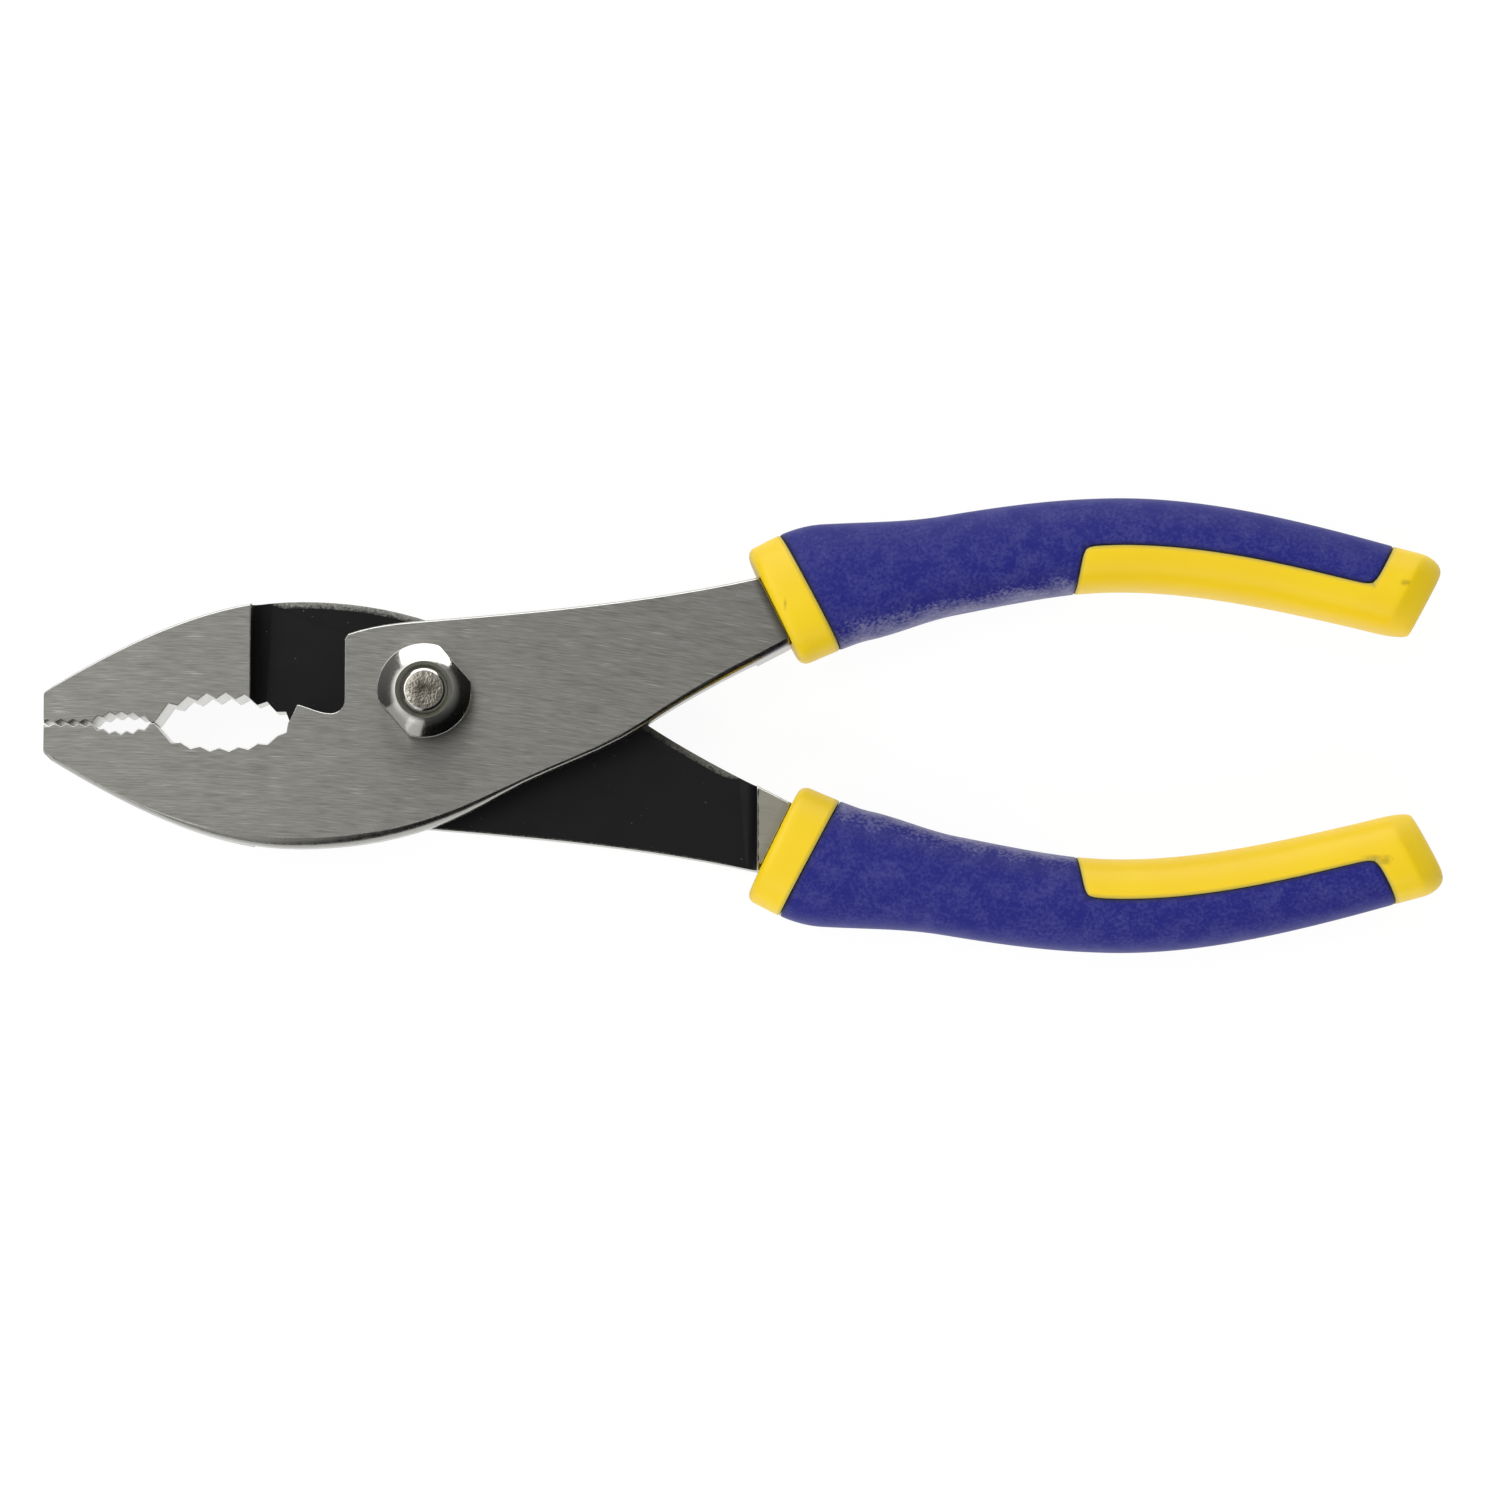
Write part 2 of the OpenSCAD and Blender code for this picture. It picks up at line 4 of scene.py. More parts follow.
import bmesh
import bpy
import numpy as np
from bpy.props import FloatProperty, FloatVectorProperty, PointerProperty
from mathutils import Matrix, Vector


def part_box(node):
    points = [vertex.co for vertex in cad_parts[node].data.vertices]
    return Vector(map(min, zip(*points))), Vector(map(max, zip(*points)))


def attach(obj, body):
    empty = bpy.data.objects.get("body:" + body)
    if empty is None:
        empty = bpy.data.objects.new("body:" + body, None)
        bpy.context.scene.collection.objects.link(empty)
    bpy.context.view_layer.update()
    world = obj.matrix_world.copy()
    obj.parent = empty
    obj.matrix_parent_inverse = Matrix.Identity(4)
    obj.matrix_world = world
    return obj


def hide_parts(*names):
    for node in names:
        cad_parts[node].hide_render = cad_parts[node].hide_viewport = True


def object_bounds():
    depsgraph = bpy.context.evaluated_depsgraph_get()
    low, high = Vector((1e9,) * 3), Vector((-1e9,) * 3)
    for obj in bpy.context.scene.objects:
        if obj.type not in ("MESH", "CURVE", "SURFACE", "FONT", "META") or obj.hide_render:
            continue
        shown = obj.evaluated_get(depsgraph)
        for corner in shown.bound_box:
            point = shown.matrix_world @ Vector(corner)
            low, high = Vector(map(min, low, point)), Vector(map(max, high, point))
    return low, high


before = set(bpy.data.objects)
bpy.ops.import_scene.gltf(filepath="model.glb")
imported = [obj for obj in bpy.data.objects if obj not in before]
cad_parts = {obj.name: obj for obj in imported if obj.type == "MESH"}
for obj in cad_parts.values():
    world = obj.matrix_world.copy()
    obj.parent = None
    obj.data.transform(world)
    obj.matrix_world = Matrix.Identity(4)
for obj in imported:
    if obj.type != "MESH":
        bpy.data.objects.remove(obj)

bl_info = {
    "name": "Slip Joint Pliers",
    "version": (1, 0, 0),
    "blender": (4, 5, 0),
    "location": "View3D > Sidebar > Pliers",
    "description": "Dresses the steel halves, the pivot and the grips of slip joint pliers",
    "category": "Add Mesh",
}

MM = 0.001
# Within this distance, in metres, two places count as one; with this share of an axis, a normal lies along it
NEAR = 0.02 * MM
FLAT = 0.999

# The whole part's box, and the lap plane and middle line that both halves share
CAD_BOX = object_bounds()
STEEL_LOW, STEEL_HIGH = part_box("front_half")
LAP_Z = (STEEL_LOW.z + STEEL_HIGH.z) / 2
FACE_Z = (STEEL_HIGH.z - STEEL_LOW.z) / 2
MID_Y = (CAD_BOX[0][1] + CAD_BOX[1][1]) / 2
SEAT = Matrix.Translation((0, MID_Y, LAP_Z))
TURNED = SEAT @ Matrix.Rotation(math.pi, 4, "X")


def srgb(code):
    """A colour written as sRGB hex, as linear red, green and blue."""
    parts = [int(code[i:i + 2], 16) / 255 for i in (1, 3, 5)]
    return tuple(c / 12.92 if c <= 0.04045 else ((c + 0.055) / 1.055) ** 2.4 for c in parts)


def length(name, text, default):
    """A size in millimetres, kept as a property in metres."""
    return FloatProperty(name=name, description=text, default=default * MM, precision=5, unit="LENGTH")


def colour(name, text, code):
    """A colour property whose default is an sRGB hex value."""
    return FloatVectorProperty(name=name, description=text, default=srgb(code), size=3, min=0, max=1,
                               subtype="COLOR")


class PliersSteel(bpy.types.PropertyGroup):
    """Sizes and colours of the two forged halves."""
    edge_r: length("Edge radius", "Ease of the cut edges", 0.07)
    crown_h: length("Crown height", "Height of the rounded band beside the ground faces", 1.8)
    collar_at: length("Collar", "Distance from the pivot to where the collar hides the steel", 42.7)
    rim_w: length("Rim width", "Worn rim round the black lap", 0.8)
    rim_drop: length("Rim drop", "How far the worn rim falls away at its edge", 0.35)
    rim_fade: length("Rim fade", "Length over which the worn rim runs out at its ends", 2)
    lap_gap: length("Lap gap", "Gap between the lapped halves", 0.1)
    jaw_shoulder: length("Jaw shoulder", "Distance from the pivot to the shoulder behind the jaw", 20.6)
    handle_shoulder: length("Handle shoulder", "Distance from the pivot to the handle's shoulder", 39)
    creep: length("Oxide creep", "How far the oxide runs over the handle's shoulder", 0.45)
    step_at: length("Stepped edge", "Distance from the pivot to the stepped edge in front of it", 9.5)
    nose: length("Nose", "Distance from the pivot to the end of the jaws", 45)
    ground: colour("Ground steel", "Belt-ground faces", "#a3a29d")
    ground_dark: colour("Ground steel, dark", "Grinding marks on the faces", "#75746f")
    forged: colour("Forged steel", "Sides of the forging", "#b8b7b2")
    bright: colour("Bright steel", "Worn edges and cut teeth", "#f0efeb")
    black: colour("Black oxide", "Finish of the lapped faces", "#111112")
    # Painted light: a warm pale grey that lightens the bare steel past the oxide's edge
    painted_warm_light: colour("Thin oxide", "Steel beside the oxide's edge at the handle's shoulder", "#bcb8a4")
    # Painted shade: the brownish dark that the collars cast on the steel beside them
    painted_shade: colour("Grime", "Oil and dirt on the steel by the collars", "#2b261c")


class PliersPivot(bpy.types.PropertyGroup):
    """Sizes and colours of the bolt and its nut."""
    nut_d: length("Nut diameter", "Diameter of the round nut", 11.1)
    nut_flats: length("Nut flats", "Width of the nut over its two flats", 9.6)
    crest_r: length("Crest radius", "Radius of the crest of the nut's face", 3.35)
    stud_d: length("Stud diameter", "Diameter of the threaded stud", 5.5)
    shank_d: length("Shank diameter", "Diameter of the bolt's shank", 7)
    flats_w: length("Shank flats", "Width over the shank's flats", 5.6)
    head_d: length("Head diameter", "Diameter of the bolt's head", 11.4)
    inner_slope: FloatProperty(name="Inner slope", description="Slope of the nut's face at its crest",
                               default=math.radians(19), subtype="ANGLE")
    outer_slope: FloatProperty(name="Outer slope", description="Slope of the nut's face at its rim",
                               default=math.radians(38), subtype="ANGLE")
    turn: FloatProperty(name="Nut turn", description="Turn of the nut's flats about its axis",
                        default=math.radians(41), subtype="ANGLE")
    plate: colour("Plating", "Bright plating of nut and bolt", "#dcdad4")
    peened: colour("Peened end", "Hammered end of the stud", "#a19d92")
    pit: colour("Stain", "Dark middle of the stud's end", "#48443b")
    # Painted shade with old oil: the dark of the nut's countersink and hole
    oil_and_shade: colour("Oil", "Old oil in the nut's countersink", "#6b6c60")
    oil_and_shade_dark: colour("Dark oil", "Thickest places of the old oil", "#45463d")


class PliersGrips(bpy.types.PropertyGroup):
    """Sizes and colours of the moulded grips, measured from the pivot and the middle line."""
    start: length("Start", "Distance from the pivot to the front of the grip", 41)
    run: length("Length", "Length of the grip along the tool", 77.27)
    front_rise: length("Front rise", "Height of the grip's front over the middle line", 13.8)
    haunch_at: length("Haunch", "Distance from the front to the haunch", 8.5)
    haunch_rise: length("Haunch rise", "Height of the haunch over the middle line", 17)
    bow_at: length("Crest", "Distance from the front to the crest of the bow", 41)
    bow_rise: length("Crest rise", "Height of the crest over the middle line", 21.37)
    tail_rise: length("Tail rise", "Height of the grip's end over the middle line", 14.8)
    collar_w: length("Collar width", "Width of the front face", 15)
    flare_w: length("Flare width", "Width at the flare", 15.3)
    flare_at: length("Flare", "Distance from the front to the flare", 4.5)
    waist_w: length("Waist width", "Width behind the flare", 11.7)
    waist_at: length("Waist", "Distance from the front to the end of the flare", 21)
    tail_w: length("Tail width", "Width at the end", 10.5)
    half_d: length("Half depth", "Half the grip's thickness", 6.5)
    thin: length("Thinning", "How much each side thins toward the end", 0.5)
    thin_at: length("Thinning start", "Distance from the front to where it starts to thin", 54)
    collar_l: length("Collar length", "Length of the bare collar", 4.3)
    strip_at: length("Strip start", "Distance from the front to the finger strip", 36.5)
    strip_in: length("Strip inset", "How far the strip's seam lies inside the middle line", 0.5)
    tail_l: length("Tail length", "Length of the bare tail", 6.6)
    corner_r: length("Corner radius", "Corner radius of the finger strip", 1.5)
    wall: length("Cover wall", "Wall of the soft cover", 0.85)
    recess: length("Recess", "Depth of the core under the cover", 1.05)
    front_r: length("Front roundness", "Roundness of the front's corners", 1.0)
    front_d: length("Front ease", "Roundness of the front edge through the thickness", 0.6)
    tail_r: length("Tail roundness", "Roundness of the end's outer corner", 2.2)
    toe_r: length("Toe roundness", "Roundness of the end's inner corner", 0.6)
    facet_l: length("Tail facet", "Length of the facet at the end", 3.2)
    square: FloatProperty(name="Squareness", description="Exponent of the rounded section", default=2.7)
    yellow: colour("Yellow", "Hard plastic of the core", "#f0cf12")
    yellow_deep: colour("Deep yellow", "Shaded and thicker places of the core", "#e9c30e")
    smudge: colour("Smudge", "Small marks on the yellow", "#6b5212")
    # Painted shade: the dark olive line where the yellow meets the soft cover
    fade: colour("Faded seam", "Yellow beside the soft cover", "#8d8c55")
    blue: colour("Blue", "Soft cover", "#1f2174")
    bloom: colour("Bloom", "Pale dust on the soft cover", "#6c6ea4")
    # Painted sheen: the pale band along the inner edge of the soft cover
    painted_sheen: colour("Frost", "Rubbed inner edge of the soft cover", "#b3b3c8")
    sheen: colour("Sheen", "Tint of the soft cover's sheen", "#b4b3dd")
    # Painted shade in the seams of the soft cover
    painted_shade: colour("Grime", "Dirt in the seams", "#1b1a2c")


class PliersStage(bpy.types.PropertyGroup):
    """The camera, the light and the floor."""
    distance: length("Camera distance", "Distance from the camera to the tool", 765)
    tilt: FloatProperty(name="Camera tilt", description="Lean of the camera toward the lower handle",
                        default=math.radians(4), subtype="ANGLE")
    view: FloatProperty(name="Field of view", description="Angle that the picture takes in",
                        default=math.radians(13.22), subtype="ANGLE")
    aim_x: length("Aim along", "Point that the camera looks at, along the tool", 38.18)
    aim_y: length("Aim across", "Point that the camera looks at, across the tool", -6.5)
    floor: colour("Floor", "Pale studio floor", "#f4f4f2")
    floor_seen: colour("Seen floor", "Floor where it is seen, which the lift brings back to white", "#585857")
    lift: FloatProperty(name="Floor lift", description="Brightness added to the floor where it is seen",
                        default=0.93)


def add(tree, kind, inputs=None, **settings):
    """Adds a node with its settings; inputs maps a socket to a value or to another node's socket."""
    node = tree.nodes.new(kind)
    for key, value in settings.items():
        setattr(node, key, value)
    for key, value in (inputs or {}).items():
        if isinstance(value, bpy.types.NodeSocket):
            tree.links.new(value, node.inputs[key])
        else:
            node.inputs[key].default_value = value
    return node


def finish_material(name, shader, links):
    """A material of one shader, with constants in shader and node sockets in links."""
    material = bpy.data.materials.new(name)
    material.use_nodes = True
    tree = material.node_tree
    body = tree.nodes["Principled BSDF"]
    for key, value in shader.items():
        body.inputs[key].default_value = value
    for key, socket in links(tree).items():
        tree.links.new(socket, body.inputs[key])
    return material


def rgba(values):
    """A colour property as the four numbers that a socket takes."""
    return (*values, 1)


def grain(tree, sizes, detail=2.0, rough=0.5):
    """Noise whose cells have the given sizes in metres along X, Y and Z."""
    place = add(tree, "ShaderNodeTexCoord")
    scaled = add(tree, "ShaderNodeVectorMath", {0: place.outputs["Object"], 1: [1 / s for s in sizes]},
                 operation="MULTIPLY")
    return add(tree, "ShaderNodeTexNoise", {"Vector": scaled.outputs[0], "Scale": 1.0, "Detail": detail,
                                            "Roughness": rough}).outputs["Fac"]


def place_of(tree):
    """The X, Y and Z of the shaded point in the part's frame."""
    place = add(tree, "ShaderNodeTexCoord")
    return add(tree, "ShaderNodeSeparateXYZ", {0: place.outputs["Object"]}).outputs


# The belt's marks: their slope at the pivot, and what each metre along the tool adds to it
BELT_SLOPE, BELT_BEND = 0.09, 1.1


def streaks(tree, along, across, detail):
    """Noise drawn out along the belt's marks, which lean more toward the handle."""
    at = place_of(tree)
    slope = add(tree, "ShaderNodeMath", {0: at["X"], 1: BELT_BEND, 2: BELT_SLOPE}, operation="MULTIPLY_ADD")
    bent = add(tree, "ShaderNodeMath", {0: at["X"], 1: slope.outputs[0], 2: at["Y"]},
               operation="MULTIPLY_ADD")
    run = add(tree, "ShaderNodeMath", {0: at["X"], 1: 1 / along}, operation="MULTIPLY")
    row = add(tree, "ShaderNodeMath", {0: bent.outputs[0], 1: 1 / across}, operation="MULTIPLY")
    vector = add(tree, "ShaderNodeCombineXYZ", {"X": run.outputs[0], "Y": row.outputs[0], "Z": at["Z"]})
    return add(tree, "ShaderNodeTexNoise", {"Vector": vector.outputs[0], "Scale": 1.0, "Detail": detail,
                                            "Roughness": 0.6}).outputs["Fac"]


# The collar's front line on the steel: its place along the tool where it crosses the grip's middle line,
# that line's distance from the tool's, the slope of the front, and the reach of the painted shade that the
# collar casts, in millimetres
COLLAR_X, COLLAR_Y, COLLAR_SLOPE, SHADE_REACH = 41.0, 13.8, 0.488, 1.3


def by_collar(tree):
    """How much painted shade the collar casts on the steel: fully at the collar's front line and not at all
    past the shade's reach.
    """
    at = place_of(tree)
    off = add(tree, "ShaderNodeMath", {0: at["Y"], 1: MID_Y}, operation="SUBTRACT")
    wide = add(tree, "ShaderNodeMath", {0: off.outputs[0]}, operation="ABSOLUTE")
    line = add(tree, "ShaderNodeMath", {0: wide.outputs[0], 1: COLLAR_SLOPE, 2: at["X"]},
               operation="MULTIPLY_ADD")
    end = (COLLAR_X + COLLAR_Y * COLLAR_SLOPE) * MM
    return add(tree, "ShaderNodeMapRange", {"Value": line.outputs[0], "From Min": end - SHADE_REACH * MM,
                                            "From Max": end, "To Max": 0.85}).outputs[0]


def ground_finish(tree, steel):
    """Colour, roughness and bump of belt grinding: fine marks along the tool and a few bright scratches, with
    painted shade by the collars.
    """
    # The belt's own marks are finer than the picture can show, so they are drawn as wide as they need to show
    fine = streaks(tree, 2.6 * MM, 0.16 * MM, 3)
    broad = streaks(tree, 8 * MM, 0.9 * MM, 2)
    scratch = streaks(tree, 3.2 * MM, 0.12 * MM, 0)
    both = add(tree, "ShaderNodeMath", {0: broad, 1: 0.35, 2: fine}, operation="MULTIPLY_ADD")
    shade = add(tree, "ShaderNodeMapRange", {"Value": both.outputs[0], "From Min": 0.4, "From Max": 0.95})
    tint = add(tree, "ShaderNodeMix", {0: shade.outputs[0], 6: rgba(steel.ground_dark),
                                       7: rgba(steel.ground)}, data_type="RGBA")
    cut = add(tree, "ShaderNodeMapRange", {"Value": scratch, "From Min": 0.72, "From Max": 0.88,
                                           "To Max": 0.4})
    lit = add(tree, "ShaderNodeMix", {0: cut.outputs[0], 6: tint.outputs[2], 7: rgba(steel.bright)},
              data_type="RGBA")
    # Painted shade that the collars cast on the steel, in a brownish tone, darkest at the collar's front line
    collar_shaded = add(tree, "ShaderNodeMix", {0: by_collar(tree), 6: lit.outputs[2], 7: rgba(steel.painted_shade)},
                 data_type="RGBA")
    rough = add(tree, "ShaderNodeMapRange", {"Value": fine, "From Min": 0.3, "From Max": 0.7,
                                             "To Min": 0.4, "To Max": 0.5})
    bump = add(tree, "ShaderNodeBump", {"Strength": 0.2, "Distance": 0.01 * MM, "Height": fine})
    cross = add(tree, "ShaderNodeVectorTransform", {0: (0, 1, 0)}, vector_type="VECTOR",
                convert_from="OBJECT", convert_to="WORLD")
    return {"Base Color": collar_shaded.outputs[2], "Roughness": rough.outputs[0], "Normal": bump.outputs[0],
            "Tangent": cross.outputs[0]}


def ground_steel(steel):
    """Carbon steel, belt-ground: a satin grey with fine marks along the tool, which blur across it."""
    return finish_material("ground_steel", {"Metallic": 1.0, "Anisotropic": 0.85},
                           lambda tree: ground_finish(tree, steel))


def crept_oxide(steel):
    """Ground steel that the oxide has run over at the handle's shoulder: a ragged black edge on grey, which
    painted light makes paler and warmer.
    """
    def links(tree):
        finish = ground_finish(tree, steel)
        past = add(tree, "ShaderNodeMath", {0: place_of(tree)["X"], 1: steel.handle_shoulder},
                   operation="SUBTRACT")
        waves = grain(tree, [1.1 * MM] * 3, 3)
        level = add(tree, "ShaderNodeMath", {0: past.outputs[0], 1: 1 / steel.creep, 2: waves},
                    operation="MULTIPLY_ADD")
        bare = add(tree, "ShaderNodeMapRange", {"Value": level.outputs[0], "From Min": 0.85, "From Max": 1.0})
        # Painted light: the bare steel is mixed halfway toward a warm pale grey
        pale = add(tree, "ShaderNodeMix", {0: 0.5, 6: finish["Base Color"], 7: rgba(steel.painted_warm_light)},
                   data_type="RGBA")
        tint = add(tree, "ShaderNodeMix", {0: bare.outputs[0], 6: rgba(steel.black), 7: pale.outputs[2]},
                   data_type="RGBA")
        return finish | {"Base Color": tint.outputs[2], "Metallic": bare.outputs[0]}
    return finish_material("crept_oxide", {"Specular IOR Level": 0.2, "Anisotropic": 0.85}, links)


def forged_steel(steel):
    """Carbon steel as forged and tumbled: smoother and paler than the ground faces, and slightly uneven."""
    def links(tree):
        lumps = grain(tree, [0.9 * MM] * 3)
        tint = add(tree, "ShaderNodeMix", {0: lumps, 6: rgba(steel.ground), 7: rgba(steel.forged)},
                   data_type="RGBA")
        rough = add(tree, "ShaderNodeMapRange", {"Value": lumps, "To Min": 0.2, "To Max": 0.36})
        bump = add(tree, "ShaderNodeBump", {"Strength": 0.2, "Distance": 0.02 * MM, "Height": lumps})
        return {"Base Color": tint.outputs[2], "Roughness": rough.outputs[0], "Normal": bump.outputs[0]}
    return finish_material("forged_steel", {"Metallic": 1.0}, links)


def bright_steel(steel):
    """Cut and worn steel: the brightest metal of the forgings, broken up by small dull places."""
    def links(tree):
        spots = grain(tree, [0.5 * MM] * 3, 3)
        tint = add(tree, "ShaderNodeMix", {0: spots, 6: rgba(steel.forged), 7: rgba(steel.bright)},
                   data_type="RGBA")
        rough = add(tree, "ShaderNodeMapRange", {"Value": spots, "To Min": 0.2, "To Max": 0.42})
        return {"Base Color": tint.outputs[2], "Roughness": rough.outputs[0]}
    return finish_material("bright_steel", {"Metallic": 1.0}, links)


def black_oxide(steel):
    """Black oxide on milled steel: a dull, oily black with a little dust."""
    def links(tree):
        cloud = grain(tree, [3 * MM] * 3)
        dust = grain(tree, [0.35 * MM] * 3, 1)
        speck = add(tree, "ShaderNodeMapRange", {"Value": dust, "From Min": 0.78, "From Max": 0.84})
        tint = add(tree, "ShaderNodeMix", {0: speck.outputs[0], 6: rgba(steel.black),
                                           7: rgba(steel.ground_dark)}, data_type="RGBA")
        rough = add(tree, "ShaderNodeMapRange", {"Value": cloud, "To Min": 0.42, "To Max": 0.62})
        bump = add(tree, "ShaderNodeBump", {"Strength": 0.2, "Distance": 0.02 * MM, "Height": dust})
        return {"Base Color": tint.outputs[2], "Roughness": rough.outputs[0], "Normal": bump.outputs[0]}
    return finish_material("black_oxide", {"Metallic": 0.0, "Specular IOR Level": 0.15}, links)


def worn_oxide(steel):
    """Black oxide rubbed through on an edge: grey steel that fades into black toward the lap."""
    def links(tree):
        off = add(tree, "ShaderNodeMath", {0: place_of(tree)["Z"], 1: LAP_Z}, operation="SUBTRACT")
        drop = add(tree, "ShaderNodeMath", {0: off.outputs[0]}, operation="ABSOLUTE")
        patch = grain(tree, [0.3 * MM] * 3, 4)
        level = add(tree, "ShaderNodeMath", {0: drop.outputs[0], 1: 1 / steel.rim_w, 2: patch},
                    operation="MULTIPLY_ADD")
        bare = add(tree, "ShaderNodeMapRange", {"Value": level.outputs[0], "From Min": 0.5, "From Max": 0.95})
        tint = add(tree, "ShaderNodeMix", {0: bare.outputs[0], 6: rgba(steel.black),
                                           7: rgba(steel.ground_dark)}, data_type="RGBA")
        return {"Base Color": tint.outputs[2], "Metallic": bare.outputs[0]}
    return finish_material("worn_oxide", {"Roughness": 0.5, "Specular IOR Level": 0.2}, links)


def bright_plate(pivot):
    """Bright nickel plating on steel: a mirror with a faint ripple and fine handling marks."""
    def links(tree):
        ripple = grain(tree, [2.5 * MM] * 3)
        marks = grain(tree, [0.25 * MM] * 3, 3)
        rough = add(tree, "ShaderNodeMapRange", {"Value": marks, "From Min": 0.35, "From Max": 0.75,
                                                 "To Min": 0.1, "To Max": 0.22})
        bump = add(tree, "ShaderNodeBump", {"Strength": 0.25, "Distance": 0.05 * MM, "Height": ripple})
        return {"Roughness": rough.outputs[0], "Normal": bump.outputs[0]}
    return finish_material("bright_plate", {"Metallic": 1.0, "Base Color": rgba(pivot.plate)}, links)


def peened_steel(pivot):
    """The stud's hammered end: dull plated steel with small dents, darker and browner in its middle."""
    def links(tree):
        dents = grain(tree, [0.35 * MM] * 3, 3)
        stain = grain(tree, [1.3 * MM] * 3, 4, 0.6)
        place = add(tree, "ShaderNodeTexCoord")
        flat = add(tree, "ShaderNodeVectorMath", {0: place.outputs["Object"], 1: (1, 1, 0)},
                   operation="MULTIPLY")
        off = add(tree, "ShaderNodeVectorMath", {0: flat.outputs[0]}, operation="LENGTH")
        out = add(tree, "ShaderNodeMath", {0: off.outputs["Value"], 1: 1.1 / pivot.stud_d, 2: stain},
                  operation="MULTIPLY_ADD")
        clean = add(tree, "ShaderNodeMapRange", {"Value": out.outputs[0], "From Min": 0.5, "From Max": 1.05})
        tint = add(tree, "ShaderNodeMix", {0: clean.outputs[0], 6: rgba(pivot.pit), 7: rgba(pivot.peened)},
                   data_type="RGBA")
        rough = add(tree, "ShaderNodeMapRange", {"Value": stain, "To Min": 0.42, "To Max": 0.2})
        bump = add(tree, "ShaderNodeBump", {"Strength": 1.0, "Distance": 0.1 * MM, "Height": dents})
        return {"Base Color": tint.outputs[2], "Roughness": rough.outputs[0], "Normal": bump.outputs[0]}
    return finish_material("peened_steel", {"Metallic": 1.0}, links)


def oily_thread(pivot):
    """Painted shade with old oil and dirt in the nut's countersink: a dark olive ring round the stud."""
    def links(tree):
        film = grain(tree, [0.7 * MM] * 3, 2)
        # Painted shade and old oil: a dull dark olive in place of the plating
        tint = add(tree, "ShaderNodeMix", {0: film, 6: rgba(pivot.oil_and_shade_dark), 7: rgba(pivot.oil_and_shade)},
                   data_type="RGBA")
        rough = add(tree, "ShaderNodeMapRange", {"Value": film, "To Min": 0.3, "To Max": 0.5})
        return {"Base Color": tint.outputs[2], "Roughness": rough.outputs[0]}
    return finish_material("oily_thread", {"Metallic": 0.0, "Specular IOR Level": 0.4}, links)


# Smudges on the yellow: place, size along X, Y and Z in millimetres from the pivot, and strength
SMUDGES = (((115.2, 12.8, 12), (0.8, 0.5, 4), 0.6), ((112.4, -19.8, 12), (1.2, 0.7, 4), 0.6),
           ((110.9, -19.5, 12), (1.2, 0.4, 4), 0.35), ((42.3, 10.2, 12), (0.25, 0.9, 4), 0.6))


def smudge(tree, place, size, strength):
    """A soft spot at a place in the part's frame, broken up by noise."""
    spot = add(tree, "ShaderNodeTexCoord").outputs["Object"]
    off = add(tree, "ShaderNodeVectorMath", {0: spot, 1: [v * MM for v in place]}, operation="SUBTRACT")
    scaled = add(tree, "ShaderNodeVectorMath", {0: off.outputs[0], 1: [1 / (v * MM) for v in size]},
                 operation="MULTIPLY")
    far = add(tree, "ShaderNodeVectorMath", {0: scaled.outputs[0]}, operation="LENGTH").outputs["Value"]
    ragged = add(tree, "ShaderNodeMath", {0: grain(tree, [0.5 * MM] * 3, 3), 1: 1.2, 2: far},
                 operation="MULTIPLY_ADD")
    return add(tree, "ShaderNodeMapRange", {"Value": ragged.outputs[0], "From Min": 0.5, "From Max": 1.6,
                                            "To Min": strength, "To Max": 0.0}).outputs[0]


def hard_yellow(grips):
    """Polypropylene, moulded with a fine spark texture: a satin yellow, deeper where it is thick."""
    def links(tree):
        cloud = grain(tree, [9 * MM] * 3)
        # The mould's texture is finer than the picture can show, so it is drawn this coarse
        spark = grain(tree, [0.14 * MM] * 3, 1)
        tint = add(tree, "ShaderNodeMix", {0: cloud, 6: rgba(grips.yellow_deep), 7: rgba(grips.yellow)},
                   data_type="RGBA").outputs[2]
        for place, size, strength in SMUDGES:
            tint = add(tree, "ShaderNodeMix", {0: smudge(tree, place, size, strength), 6: tint,
                                               7: rgba(grips.smudge)}, data_type="RGBA").outputs[2]
        # Painted shade along the seam with the soft cover, darkest at the seam itself
        seam = add(tree, "ShaderNodeAttribute", attribute_name="seam")
        seam_shaded = add(tree, "ShaderNodeMix", {0: seam.outputs["Fac"], 6: tint, 7: rgba(grips.fade)},
                    data_type="RGBA")
        rough = add(tree, "ShaderNodeMapRange", {"Value": spark, "To Min": 0.38, "To Max": 0.5})
        bump = add(tree, "ShaderNodeBump", {"Strength": 0.12, "Distance": 0.02 * MM, "Height": spark})
        return {"Base Color": seam_shaded.outputs[2], "Roughness": rough.outputs[0], "Normal": bump.outputs[0]}
    return finish_material("hard_yellow", {"Specular IOR Level": 0.45, "IOR": 1.49}, links)


